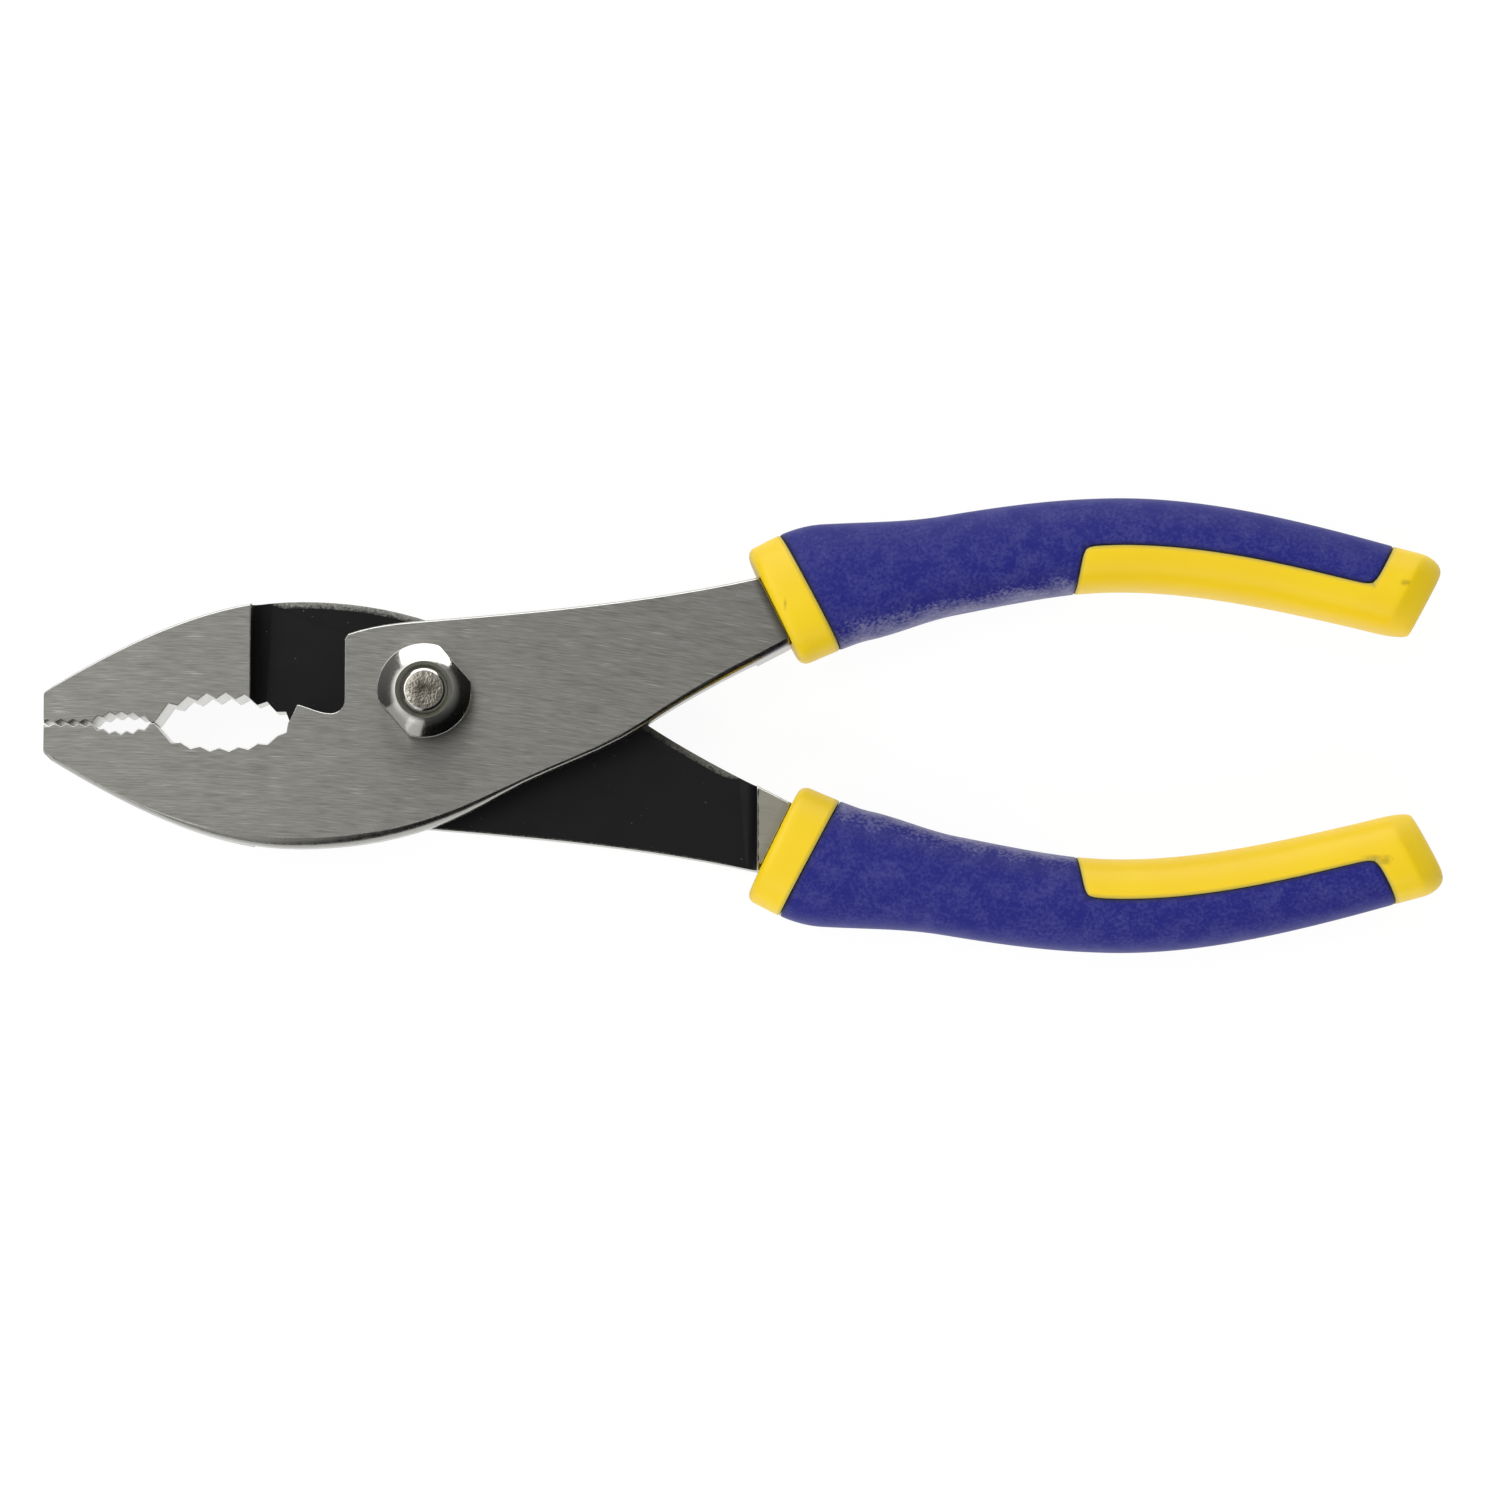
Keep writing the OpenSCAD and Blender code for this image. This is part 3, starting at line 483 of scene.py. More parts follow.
def soft_blue(grips):
    """Soft thermoplastic rubber: a dull blue with broken highlights and pale dust, with a painted sheen along
    its inner edge and painted shade in its seams.
    """
    def links(tree):
        pores = grain(tree, [0.4 * MM] * 3, 3, 0.6)
        patch = grain(tree, [2.5 * MM] * 3, 2)
        both = add(tree, "ShaderNodeMath", {0: patch, 1: 0.6, 2: pores}, operation="MULTIPLY_ADD")
        dust = add(tree, "ShaderNodeMapRange", {"Value": both.outputs[0], "From Min": 0.7, "From Max": 1.3,
                                                "To Max": 0.4})
        tint = add(tree, "ShaderNodeMix", {0: dust.outputs[0], 6: rgba(grips.blue), 7: rgba(grips.bloom)},
                   data_type="RGBA")
        # Painted sheen along the inner edge, broken up by the dust's noise
        edge = add(tree, "ShaderNodeAttribute", attribute_name="edge")
        frayed = add(tree, "ShaderNodeMath", {0: both.outputs[0], 1: 0.8, 2: edge.outputs["Fac"]},
                     operation="MULTIPLY_ADD")
        inner = add(tree, "ShaderNodeMapRange", {"Value": frayed.outputs[0], "From Min": 1.3,
                                                 "From Max": 1.85, "To Max": 0.55})
        with_sheen = add(tree, "ShaderNodeMix", {0: inner.outputs[0], 6: tint.outputs[2], 7: rgba(grips.painted_sheen)},
                      data_type="RGBA")
        # Painted shade along the seams, darkest at the seam itself
        seam = add(tree, "ShaderNodeAttribute", attribute_name="seam")
        seam_shaded = add(tree, "ShaderNodeMix", {0: seam.outputs["Fac"], 6: with_sheen.outputs[2],
                                            7: rgba(grips.painted_shade)}, data_type="RGBA")
        rough = add(tree, "ShaderNodeMapRange", {"Value": pores, "To Min": 0.42, "To Max": 0.62})
        bump = add(tree, "ShaderNodeBump", {"Strength": 0.6, "Distance": 0.04 * MM, "Height": pores})
        return {"Base Color": seam_shaded.outputs[2], "Roughness": rough.outputs[0], "Normal": bump.outputs[0]}
    return finish_material("soft_blue", {"Specular IOR Level": 0.18, "Sheen Weight": 0.03,
                                         "Sheen Roughness": 0.5, "Sheen Tint": rgba(grips.sheen)}, links)


def place_piece(name, mesh, materials, body, node):
    """Links a finished mesh as a piece that stands for its CAD node and rides with its body."""
    piece = bpy.data.objects.new(name, mesh)
    bpy.context.scene.collection.objects.link(piece)
    for material in materials:
        mesh.materials.append(material)
    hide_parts(node)
    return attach(piece, body)


def baked(piece):
    """The plain mesh that a piece's modifiers give."""
    graph = bpy.context.evaluated_depsgraph_get()
    return bpy.data.meshes.new_from_object(piece.evaluated_get(graph), preserve_all_data_layers=True,
                                           depsgraph=graph)


GROUND, FORGED, BRIGHT, BLACK, WORN, CREPT = range(6)


def surface_of(face, steel):
    """Which finish a face of the forging has, from its place and the way that it looks."""
    middle = face.calc_center_median()
    height = abs(middle.z - LAP_Z)
    look = face.normal
    if abs(look.z) > FLAT and abs(height - FACE_Z) < NEAR:
        return CREPT if min(v.co.x for v in face.verts) > steel.handle_shoulder - NEAR else GROUND
    if abs(look.z) > FLAT and abs(height - steel.lap_gap / 2) < NEAR:
        return BLACK
    across = abs(look.y) < 1 - FLAT
    if across and abs(look.z) > 0.02 and height < FACE_Z - NEAR:
        return BLACK
    if across and height < FACE_Z and abs(middle.x + steel.jaw_shoulder) < NEAR:
        return BLACK
    # Teeth and cutter are the upright walls by the middle line that look neither outward nor past the nose
    in_jaw = middle.x < -steel.step_at + NEAR and abs(middle.y - MID_Y) < FACE_Z
    outward = look.y * (middle.y - MID_Y)
    if in_jaw and abs(look.z) < 0.01 and look.x > -0.9 and outward < MM:
        return BRIGHT
    return FORGED


# Walls that look further along the tool than this share aren't the forging's outer side, and what is left of
# the rim's width on the side away from the jaw's back and the crotch
RIM_LOOK, RIM_THIN = 0.62, 0.25
# Greatest distance between points of the rim, in millimetres
RIM_STEP = 1.2


def is_rim(edge, floor):
    """Whether an edge of the lap's floor lies on the forging's outer side, and not on a tooth or a bore."""
    for side in edge.link_faces:
        if side is not floor and side.material_index == FORGED and abs(side.normal.x) < RIM_LOOK:
            return side.normal.dot((edge.verts[0].co + edge.verts[1].co) / 2) > 0
    return False


def run_in(lengths, outer):
    """Length of rim behind each point of a floor, counted from where its run of outer edges starts."""
    start = outer.index(False)
    behind = [0.0] * len(outer)
    for i in range(start + 1, start + len(outer) + 1):
        last = (i - 1) % len(outer)
        behind[i % len(outer)] = behind[last] + lengths[last] if outer[last] else 0.0
    return behind


def wear_rim(bm, floor, steel):
    """Rounds over the outer edge of a lap's floor, widest on the side of the jaw's back and the crotch."""
    step = RIM_STEP * MM
    for edge in [e for e in floor.edges if is_rim(e, floor) and e.calc_length() > step]:
        bmesh.ops.subdivide_edges(bm, edges=[edge], cuts=int(edge.calc_length() / step))
    loops = list(floor.loops)
    count = len(loops)
    outer = [is_rim(loop.edge, floor) for loop in loops]
    lengths = [loop.edge.calc_length() for loop in loops]
    behind = run_in(lengths, outer)
    ahead = run_in(lengths[-2::-1] + lengths[-1:], outer[-2::-1] + outer[-1:])[::-1]
    points = [loop.vert for loop in loops]
    inner = list(points)
    for i, point in enumerate(points):
        share = min(1, behind[i] / steel.rim_fade, ahead[i] / steel.rim_fade)
        if share == 0:
            continue
        inward = floor.normal.cross(points[(i + 1) % count].co - points[i - 1].co).normalized()
        share *= 1 if inward.y * floor.normal.z < 0 else RIM_THIN
        inner[i] = bm.verts.new(point.co + inward * steel.rim_w * share)
    for point, deep in zip(points, inner):
        point.co -= floor.normal * steel.rim_drop * (deep.co - point.co).length / steel.rim_w
    bm.faces.new(inner).material_index = BLACK
    for i in range(count):
        corners = dict.fromkeys((points[i], points[(i + 1) % count], inner[(i + 1) % count], inner[i]))
        if len(corners) > 2:
            bm.faces.new(corners).material_index = WORN
    bm.faces.remove(floor)


# The rounded band beside the ground faces: its width in plan and its height, in millimetres, on the edges
# that look to -Y by the distance from the pivot, and on the others; and how far it swells
BAND_AT = (-43.6, -40, -33, -27, -22, -15, -8, 0, 6, 11, 25, 33, 41)
BAND_W = (0.4, 0.3, 0.35, 0.6, 0.9, 1.1, 1.1, 1.0, 0.8, 0.45, 0.45, 0.7, 0.9)
BAND_H = (1.0, 1.0, 0.8, 0.6, 0.75, 0.9, 1.0, 1.1, 0.95, 0.45, 0.45, 0.55, 0.8)
UPPER_BAND = (0.25, 1.8)
BAND_SWELL = math.radians(24)
BAND_CUTS = 5
# What is left of the chamfer's width at the nose, which the photograph shows almost sharp, how far from the
# nose its points lie, and where the band is cut past the handle's shoulder, in millimetres
NOSE_EASE, NOSE_REACH, SHOULDER_PAST = 0.2, 1.2, 0.2
# What a chamfer's normal has upward, and the chamfer's greatest width in plan, in millimetres
CHAMFER_LOOK, CHAMFER_W = (0.2, 0.5), 0.9


def band_edges(bm, steel):
    """Chamfer faces beside the ground faces, and the edges that run down them as (edge, top, foot)."""
    least, most = CHAMFER_LOOK
    bands = [f for f in bm.faces if f.material_index == FORGED and least < abs(f.normal.z) < most]
    downs = []
    for edge in dict.fromkeys(e for f in bands for e in f.edges):
        foot, top = sorted(edge.verts, key=lambda v: abs(v.co.z - LAP_Z))
        run = foot.co - top.co
        high = abs(abs(top.co.z - LAP_Z) - FACE_Z) < NEAR
        down = abs(abs(run.z) - steel.crown_h) < 1.5 * NEAR and run.xy.length < CHAMFER_W * MM
        if high and down and foot.co.x > -steel.nose + 2.5 * NEAR:
            downs.append((edge, top, foot))
    return bands, downs


def crown_sides(bm, steel):
    """Swells the chamfers beside the ground faces into rounded bands that meet the walls smoothly."""
    for place in (steel.handle_shoulder + SHOULDER_PAST * MM, steel.collar_at):
        ends = [f for f in band_edges(bm, steel)[0] if len(f.verts) > 4]
        parts = ends + [e for f in ends for e in f.edges] + [v for f in ends for v in f.verts]
        bmesh.ops.bisect_plane(bm, geom=list(dict.fromkeys(parts)), plane_co=(place, 0, 0),
                               plane_no=(1, 0, 0))
    bands, downs = band_edges(bm, steel)
    for point in dict.fromkeys(v for f in bands for v in f.verts):
        past = point.co.x + steel.nose
        if past < NOSE_REACH * MM and abs(abs(point.co.z - LAP_Z) - FACE_Z) < NEAR:
            point.co.x = past * NOSE_EASE - steel.nose
    chains = []
    for edge, top, foot in downs:
        out = Vector((*(foot.co - top.co).xy.normalized(), 0))
        wide, high = UPPER_BAND
        if out.y < 0:
            wide, high = (np.interp(foot.co.x / MM, BAND_AT, sizes) for sizes in (BAND_W, BAND_H))
        up = Vector((0, 0, math.copysign(1, top.co.z - foot.co.z)))
        chord = (out * wide - up * high) * MM
        swell = (out * high + up * wide).normalized()
        swell *= chord.length / 2 * math.tan(min(BAND_SWELL, math.atan2(wide, high)) / 2)
        foot.co.z = top.co.z - up.z * high * MM
        top.co = foot.co - chord
        start, cuts = top.co.copy(), []
        for i in range(1, BAND_CUTS + 1):
            t = i / (BAND_CUTS + 1)
            point = bmesh.utils.edge_split(edge, foot, 0.5)[1]
            edge = next(e for e in point.link_edges if foot in e.verts)
            point.co = start + chord * t + swell * 4 * t * (1 - t)
            cuts.append(point)
        chains.append(cuts)
    for face in bands:
        mine = [cuts for cuts in chains if face in cuts[0].link_faces]
        if len(mine) == 2:
            for a, b in zip(*mine):
                bmesh.utils.face_split(next(f for f in a.link_faces if b in f.verts), a, b)
    bm.normal_update()


# Angles past which an edge of the forging is eased, and past which an edge of each kind of piece shows sharp
EASED = math.radians(25)
SHARP_STEEL, SHARP_PIVOT, SHARP_GRIP = (math.radians(a) for a in (28, 40, 45))
# Angle under which two faces of the forging are one
ONE_FACE = math.radians(0.4)


def ease_edges(bm, finishes, size, finish):
    """Rounds the sharp outward edges of faces with one of the finishes, and gives the round a finish."""
    sharp = [e for e in bm.edges if e.is_convex and e.calc_face_angle(0) > EASED
             and finishes & {f.material_index for f in e.link_faces}]
    bmesh.ops.bevel(bm, geom=sharp, offset=size, offset_type="OFFSET", segments=2, profile=0.5,
                    affect="EDGES", clamp_overlap=False, material=finish)
    bm.normal_update()


def sort_by_place(bm):
    """Puts points, edges and faces in order of place, because a bevel leaves them in a new order each run."""
    def corners(item):
        return sorted(v.index for v in item.verts)

    for items, key in ((bm.verts, lambda v: tuple(v.co)), (bm.edges, corners), (bm.faces, corners)):
        for number, item in enumerate(sorted(items, key=key)):
            item.index = number
        items.sort()
        items.index_update()


def steel_mesh(node, steel):
    """A copy of a forging with its finishes told apart and its edges eased."""
    bm = bmesh.new()
    bm.from_mesh(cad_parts[node].data)
    bmesh.ops.remove_doubles(bm, verts=bm.verts, dist=0.1 * NEAR)
    bmesh.ops.dissolve_limit(bm, angle_limit=ONE_FACE, verts=bm.verts, edges=bm.edges)
    bmesh.ops.dissolve_degenerate(bm, dist=NEAR, edges=bm.edges)
    bm.normal_update()
    for face in bm.faces:
        face.material_index = surface_of(face, steel)
    floors = [f for f in bm.faces if f.material_index == BLACK and abs(f.normal.z) > FLAT]
    wear_rim(bm, max(floors, key=lambda f: f.calc_area()), steel)
    bm.normal_update()
    crown_sides(bm, steel)
    ease_edges(bm, {GROUND, CREPT}, steel.edge_r, BRIGHT)
    ease_edges(bm, {FORGED, BRIGHT}, steel.edge_r, -1)
    for point in (v for f in bm.faces if f.material_index in (GROUND, CREPT) for v in f.verts):
        point.co.z = LAP_Z + math.copysign(FACE_Z, point.co.z - LAP_Z)
    sort_by_place(bm)
    mesh = bpy.data.meshes.new(node + "_steel")
    bm.to_mesh(mesh)
    bm.free()
    mesh.shade_smooth()
    mesh.set_sharp_from_angle(angle=SHARP_STEEL)
    for face in mesh.polygons:
        face.use_smooth = face.material_index not in (GROUND, CREPT) and abs(face.normal.z) < 0.9999
    return mesh


class PLIERS_OT_halves(bpy.types.Operator):
    """Copy the two forgings, ease their edges and finish each surface"""
    bl_idname = "pliers.halves"
    bl_label = "Steel Halves"

    def execute(self, context):
        steel = context.scene.pliers_steel
        finishes = [make(steel) for make in (ground_steel, forged_steel, bright_steel, black_oxide,
                                             worn_oxide, crept_oxide)]
        for node in ("front_half", "rear_half"):
            place_piece(node + "_steel", steel_mesh(node, steel), finishes, node, node)
        return {"FINISHED"}


def ring_mesh(name, rings, finishes, closed):
    """A mesh of rings about the pivot, each given as its radii and heights at equal turns, and the finish of
    the band after each. A closed one joins its last ring to its first, an open one ends in two poles."""
    turns = len(rings[0][0])
    angles = np.arange(turns) * 2 * math.pi / turns
    points = [(r * math.cos(a), r * math.sin(a), z) for ring in rings for a, r, z in zip(angles, *ring)]
    faces, kinds = [], []
    for i in range(len(rings) if closed else len(rings) - 1):
        a, b = i * turns, (i + 1) % len(rings) * turns
        faces += [(a + k, a + (k + 1) % turns, b + (k + 1) % turns, b + k) for k in range(turns)]
        kinds += [finishes[i]] * turns
    ends = () if closed else ((0, -1), (len(rings) - 1, 1))
    for i, way in ends:
        pole = len(points)
        points.append((0, 0, rings[i][1][0]))
        faces += [(*(i * turns + k, i * turns + (k + 1) % turns)[::way], pole) for k in range(turns)]
        kinds += [finishes[i]] * turns
    mesh = bpy.data.meshes.new(name)
    mesh.from_pydata(points, [], faces)
    mesh.polygons.foreach_set("material_index", kinds)
    mesh.shade_smooth()
    return mesh


PLATED, PEENED, SEATED = range(3)
ROUND = 180
TURNS = np.arange(ROUND) * 2 * math.pi / ROUND
# Radius of the soft edges, gap round the stud's thread and size of the chamfer under the nut, in millimetres
SOFT, THREAD_GAP, UNDER_CHAMFER = 0.12, 0.02, 0.4
# Places of the rings on the nut's face, as shares of the way from its crest to its edge
CROWN_AT = (0.95, 0.8, 0.6, 0.4, 0.2, 0.06)
# The countersink under the crest: the way out from the hole and the depth, in millimetres
SINK = ((0.22, 0.5), (0, 0.62))
# The bolt's head and the stud's end: the way in from the full radius and from the end, in millimetres
HEAD_FORM = ((0.6, 0), (0.3, 0.12), (0.1, 0.35), (0, 0.7))
STUD_FORM = ((0, 0.55), (0.08, 0.42), (0.38, 0.12), (0.55, 0.06))
# The hammered face: shares of the stud's radius, and the way down from the end, in millimetres
PEENED_FORM = ((0.6, 0.03), (0.4, 0.01), (0.2, 0))
# The gap between the forgings' outer faces and the bolt's shoulders, in millimetres
SHOULDER_GAP = 0.05


def cut_round(radius, flats, turn):
    """Radii of a round that is cut by two flats, at equal turns."""
    return np.minimum(radius, flats / 2 / np.maximum(np.abs(np.cos(TURNS - turn)), 0.1))


def nut_mesh(pivot):
    """Round nut with a crowned face, two flats and a countersunk hole."""
    low, high = (corner.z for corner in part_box("pivot_nut"))
    rim, crest = pivot.nut_d / 2, pivot.crest_r
    reach = cut_round(rim, pivot.nut_flats, pivot.turn)
    hole = np.full_like(TURNS, pivot.stud_d / 2 + THREAD_GAP * MM)
    inner, outer = math.tan(pivot.inner_slope), math.tan(pivot.outer_slope)

    def crown(r):
        past = (r - crest) / (rim - crest)
        return high - (rim - crest) * (inner * past + (outer - inner) * past ** 2 / 2)

    def level(z):
        return np.full_like(TURNS, z)

    soft, under = SOFT * MM, UNDER_CHAMFER * MM
    steep = math.pi / 2 - pivot.outer_slope
    shelf = reach - soft * (1 - math.cos(pivot.outer_slope))
    rings = [(hole, level(low)), (reach - under, level(low)), (reach, level(low + under))]
    for a in np.linspace(0, steep, 4):
        drop = soft * (math.sin(steep) - math.sin(a))
        rings.append((reach - soft * (1 - math.cos(a)), crown(shelf) - drop))
    rings += [(r, crown(r)) for r in (crest + (shelf - crest) * share for share in CROWN_AT)]
    # The countersink and the hole, which take the painted shade with old oil
    seat = [(level(crest), level(high))]
    seat += [(hole + out * MM, level(high - deep * MM)) for out, deep in SINK]
    seat.append((hole, level(low + MM)))
    kinds = [PLATED] * len(rings) + [SEATED] * len(seat)
    return ring_mesh("nut", rings + seat, kinds, True)


def bolt_mesh(pivot):
    """Shoulder bolt: round head, flatted shank, journal and the stud's hammered end."""
    low, high = (corner.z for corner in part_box("pivot_bolt"))
    gap, soft = SHOULDER_GAP * MM, SOFT * MM
    under, over = LAP_Z - FACE_Z - gap, LAP_Z + FACE_Z + gap
    head, shank, stud = pivot.head_d / 2, pivot.shank_d / 2, pivot.stud_d / 2
    flatted = cut_round(shank, pivot.flats_w, 0)
    body = [(head * 0.5, low)] + [(head - inset * MM, low + rise * MM) for inset, rise in HEAD_FORM]
    body += [(head, under - soft), (head - soft, under), (flatted + soft, under), (flatted, under + soft),
             (flatted, LAP_Z), (shank, LAP_Z), (shank, over - soft), (shank - soft, over)]
    end = [(stud, over)] + [(stud - inset * MM, high - drop * MM) for inset, drop in STUD_FORM]
    end += [(stud * share, high - drop * MM) for share, drop in PEENED_FORM]
    rings = [(r + np.zeros_like(TURNS), z + np.zeros_like(TURNS)) for r, z in body + end]
    # The band at the stud's foot takes the countersink's painted shade with old oil
    kinds = [PLATED] * len(body) + [SEATED] + [PLATED] * 3 + [PEENED] * (len(end) - 4)
    return ring_mesh("bolt", rings, kinds, False)


class PLIERS_OT_pivot(bpy.types.Operator):
    """Make the shoulder bolt and its nut"""
    bl_idname = "pliers.pivot"
    bl_label = "Pivot Bolt and Nut"

    def execute(self, context):
        pivot = context.scene.pliers_pivot
        finishes = [make(pivot) for make in (bright_plate, peened_steel, oily_thread)]
        for name, mesh in (("nut", nut_mesh(pivot)), ("bolt", bolt_mesh(pivot))):
            mesh.set_sharp_from_angle(angle=SHARP_PIVOT)
            place_piece("pivot_" + name + "_plated", mesh, finishes, "pivot", "pivot_" + name)
        return {"FINISHED"}


def cubic(a, b, x):
    """A cubic in x through a and b, each (x, y, slope)."""
    w = b[0] - a[0]
    u = (x - a[0]) / w
    return ((2 * u ** 3 - 3 * u ** 2 + 1) * a[1] + (u ** 3 - 2 * u ** 2 + u) * w * a[2]
            + (3 * u ** 2 - 2 * u ** 3) * b[1] + (u ** 3 - u ** 2) * w * b[2])


def ease(u):
    """A smooth step from 0 to 1."""
    u = np.clip(u, 0, 1)
    return u * u * (3 - 2 * u)


# Slopes of the grip's middle line at its front, haunch and end, and the lean of its sections
FRONT_SLOPE, HAUNCH_SLOPE, TAIL_SLOPE = 0.45, 0.12, -0.25
FRONT_LEAN, COLLAR_LEAN, STRIP_LEAN, TAIL_LEAN = (math.radians(a) for a in (26, 28, -10, -28))
# Distances from a seam at which the pattern has lines, in millimetres
SEAM_LINES = (0.12, 0.3, 0.6, 1.0, 1.6)
# At the first lines: how far the core and the cover dip, in millimetres, and how much painted shade they take
SEAM_AT = np.array((0, *SEAM_LINES[:3])) * MM
CORE_DIP, COVER_DIP = (0.08, 0.02, 0), (0.1, 0.03, 0.01, 0)
CORE_SHADE, COVER_SHADE = (1, 0.75, 0.4, 0), (0.9, 0.6, 0.3, 0)
# A depth below which a line counts as lying on the seam, in metres
ON_SEAM = 1e-6
# Steps of the pattern along the grip and round its section, in millimetres
STEP_ALONG, STEP_ROUND = 0.8, 0.6
# Points of the grip's line, points that measure its section, and rounds of easing beside the strip's corners
LINE_POINTS, SECTION_POINTS, EASE_ROUNDS = 300, 4001, 80
# The facet at the tail's end, as shares of its length: the way left to the end, and the drop there
TAIL_FACET = ((0.95, 0.01), (0.88, 0.04), (0.8, 0.09), (0.62, 0.22), (0.43, 0.37), (0.25, 0.52), (0.13, 0.64),
              (0.05, 0.76), (0.01, 0.88), (0, 1))


def grip_line(grips, x):
    """The grip's middle line, half width, half depth and lean at places x along the tool."""
    d = x - grips.start
    front = (grips.start, grips.front_rise, FRONT_SLOPE)
    haunch = (grips.start + grips.haunch_at, grips.haunch_rise, HAUNCH_SLOPE)
    crest = (grips.start + grips.bow_at, grips.bow_rise, 0)
    tail = (grips.start + grips.run, grips.tail_rise, TAIL_SLOPE)
    y = np.where(x < haunch[0], cubic(front, haunch, x),
                 np.where(x < crest[0], cubic(haunch, crest, x), cubic(crest, tail, x)))
    flare = grips.collar_w + (grips.flare_w - grips.collar_w) * ease(d / grips.flare_at)
    waist = grips.flare_w + (grips.waist_w - grips.flare_w) * ease((d - grips.flare_at)
                                                                    / (grips.waist_at - grips.flare_at))
    after = (d - grips.waist_at) / (grips.run - grips.waist_at)
    tail_w = grips.waist_w + (grips.tail_w - grips.waist_w) * after
    half_w = np.where(d < grips.flare_at, flare, np.where(d < grips.waist_at, waist, tail_w)) / 2
    half_d = grips.half_d - grips.thin * ease((d - grips.thin_at) / (grips.run - grips.thin_at))
    lean = np.interp(d, [0, grips.collar_l, grips.strip_at, grips.run - grips.tail_l, grips.run],
                     [FRONT_LEAN, COLLAR_LEAN, STRIP_LEAN, TAIL_LEAN, TAIL_LEAN])
    return y, half_w, half_d, lean


def graded(first, last, seams, step):
    """Places from first to last, close by each seam and at most a step apart elsewhere."""
    lines = {first, last}
    for seam in seams:
        lines |= {seam + side * off * MM for off in (0, *SEAM_LINES) for side in (-1, 1)}
    lines = sorted(v for v in lines if first - 1e-9 <= v <= last + 1e-9)
    places = []
    for a, b in zip(lines, lines[1:]):
        count = max(1, math.ceil((b - a) / step - 1e-6))
        places += [a + (b - a) * i / count for i in range(count)]
    return np.array(places + [lines[-1]])


def section_angles(grips, step):
    """Angles round half a section, from its outer edge to its inner one, with lines by the strip's seam."""
    half, power = grips.waist_w / 2, 2 / grips.square
    sweep = np.linspace(0, math.pi, SECTION_POINTS)
    wide = np.sign(np.cos(sweep)) * np.abs(np.cos(sweep)) ** power
    curve = np.stack([half * wide, grips.half_d * np.abs(np.sin(sweep)) ** power], 1)
    reach = np.concatenate([[0], np.cumsum(np.linalg.norm(np.diff(curve, axis=0), axis=1))])
    lines = sorted({side * off * MM - grips.strip_in for off in (0, *SEAM_LINES) for side in (1, -1)})
    share = np.array(lines[::-1]) / half
    seam = np.arccos(np.sign(share) * np.abs(share) ** (1 / power))
    stop, go = np.interp(seam[[0, -1]], sweep, reach)
    before = np.linspace(0, stop, math.ceil(stop / step) + 1)[:-1]
    after = np.linspace(go, reach[-1], math.ceil((reach[-1] - go) / step) + 1)[1:]
    return np.concatenate([np.interp(before, reach, sweep), seam, np.interp(after, reach, sweep)])


def eased_corners(grips, xs, across, marks):
    """Moves the pattern so that the strip's two corners run in arcs. Gives shifts along and across."""
    r = grips.corner_r
    zone = 3 * r
    shift = np.zeros((*across.shape, 2))
    for seam, side in ((marks["strip"], 1), (marks["tail"], -1)):
        away = xs - xs[seam]
        held = (np.abs(away) > zone)[:, None] | (np.abs(across) > zone)
        for i, k in np.ndindex(across.shape):
            q = across[i, k]
            if i == seam and side * q <= 0:
                t = (r - abs(q)) / (2 * r)
            elif k == marks["line"] and 0 <= side * away[i] <= zone:
                t = (r + abs(away[i])) / (2 * r)
            else:
                continue
            held[i, k] = True
            if 0 <= t <= 1:
                a = math.pi - math.pi / 2 * t
                shift[i, k] = side * r * (1 + math.cos(a)) - away[i], side * r * (math.sin(a) - 1) - q
        for _ in range(EASE_ROUNDS):
            mean = shift.copy()
            mean[1:-1, 1:-1] = (shift[2:, 1:-1] + shift[:-2, 1:-1] + shift[1:-1, 2:] + shift[1:-1, :-2]) / 4
            shift = np.where(held[..., None], shift, mean)
    return shift


def seam_depth(grips, xs, turn):
    """How far each line of the pattern lies inside the cover's edge, and below 0 outside it."""
    x = xs[:, None] - grips.start
    lateral = turn[None, :] * grips.waist_w / 2
    strip = np.maximum(grips.strip_at - x, lateral)
    return np.minimum(np.minimum(x - grips.collar_l, grips.run - grips.tail_l - x), strip)


def grip_pattern(grips):
    """The grip's unrolled pattern: places along, angles round, and depths inside the cover's edge."""
    first, last = grips.start + grips.front_r, grips.start + grips.run - grips.facet_l
    seams = [grips.start + grips.collar_l, grips.start + grips.strip_at,
             grips.start + grips.run - grips.tail_l]
    xs = graded(first, last, seams, STEP_ALONG * MM)
    half = section_angles(grips, STEP_ROUND * MM)
    power = 2 / grips.square
    turn = np.sign(np.cos(half)) * np.abs(np.cos(half)) ** power
    half_w = grip_line(grips, xs)[1]
    across = half_w[:, None] * turn[None, :]
    line = int(np.argmin(np.abs(turn + 2 * grips.strip_in / grips.waist_w)))
    marks = {"strip": int(np.argmin(np.abs(xs - seams[1]))), "tail": int(np.argmin(np.abs(xs - seams[2]))),
             "line": line}
    shift = eased_corners(grips, xs, across - across[:, [line]], marks)
    along = xs[:, None] + shift[..., 0]
    ratio = np.clip((across + shift[..., 1]) / grip_line(grips, along)[1], -1, 1)
    angle = np.arccos(np.sign(ratio) * np.abs(ratio) ** (1 / power))
    depth = seam_depth(grips, xs, turn - turn[line])
    sides = ((along, along), (angle, 2 * math.pi - angle), (depth, depth))
    return [np.concatenate([front, back[:, -2:0:-1]], 1) for front, back in sides]


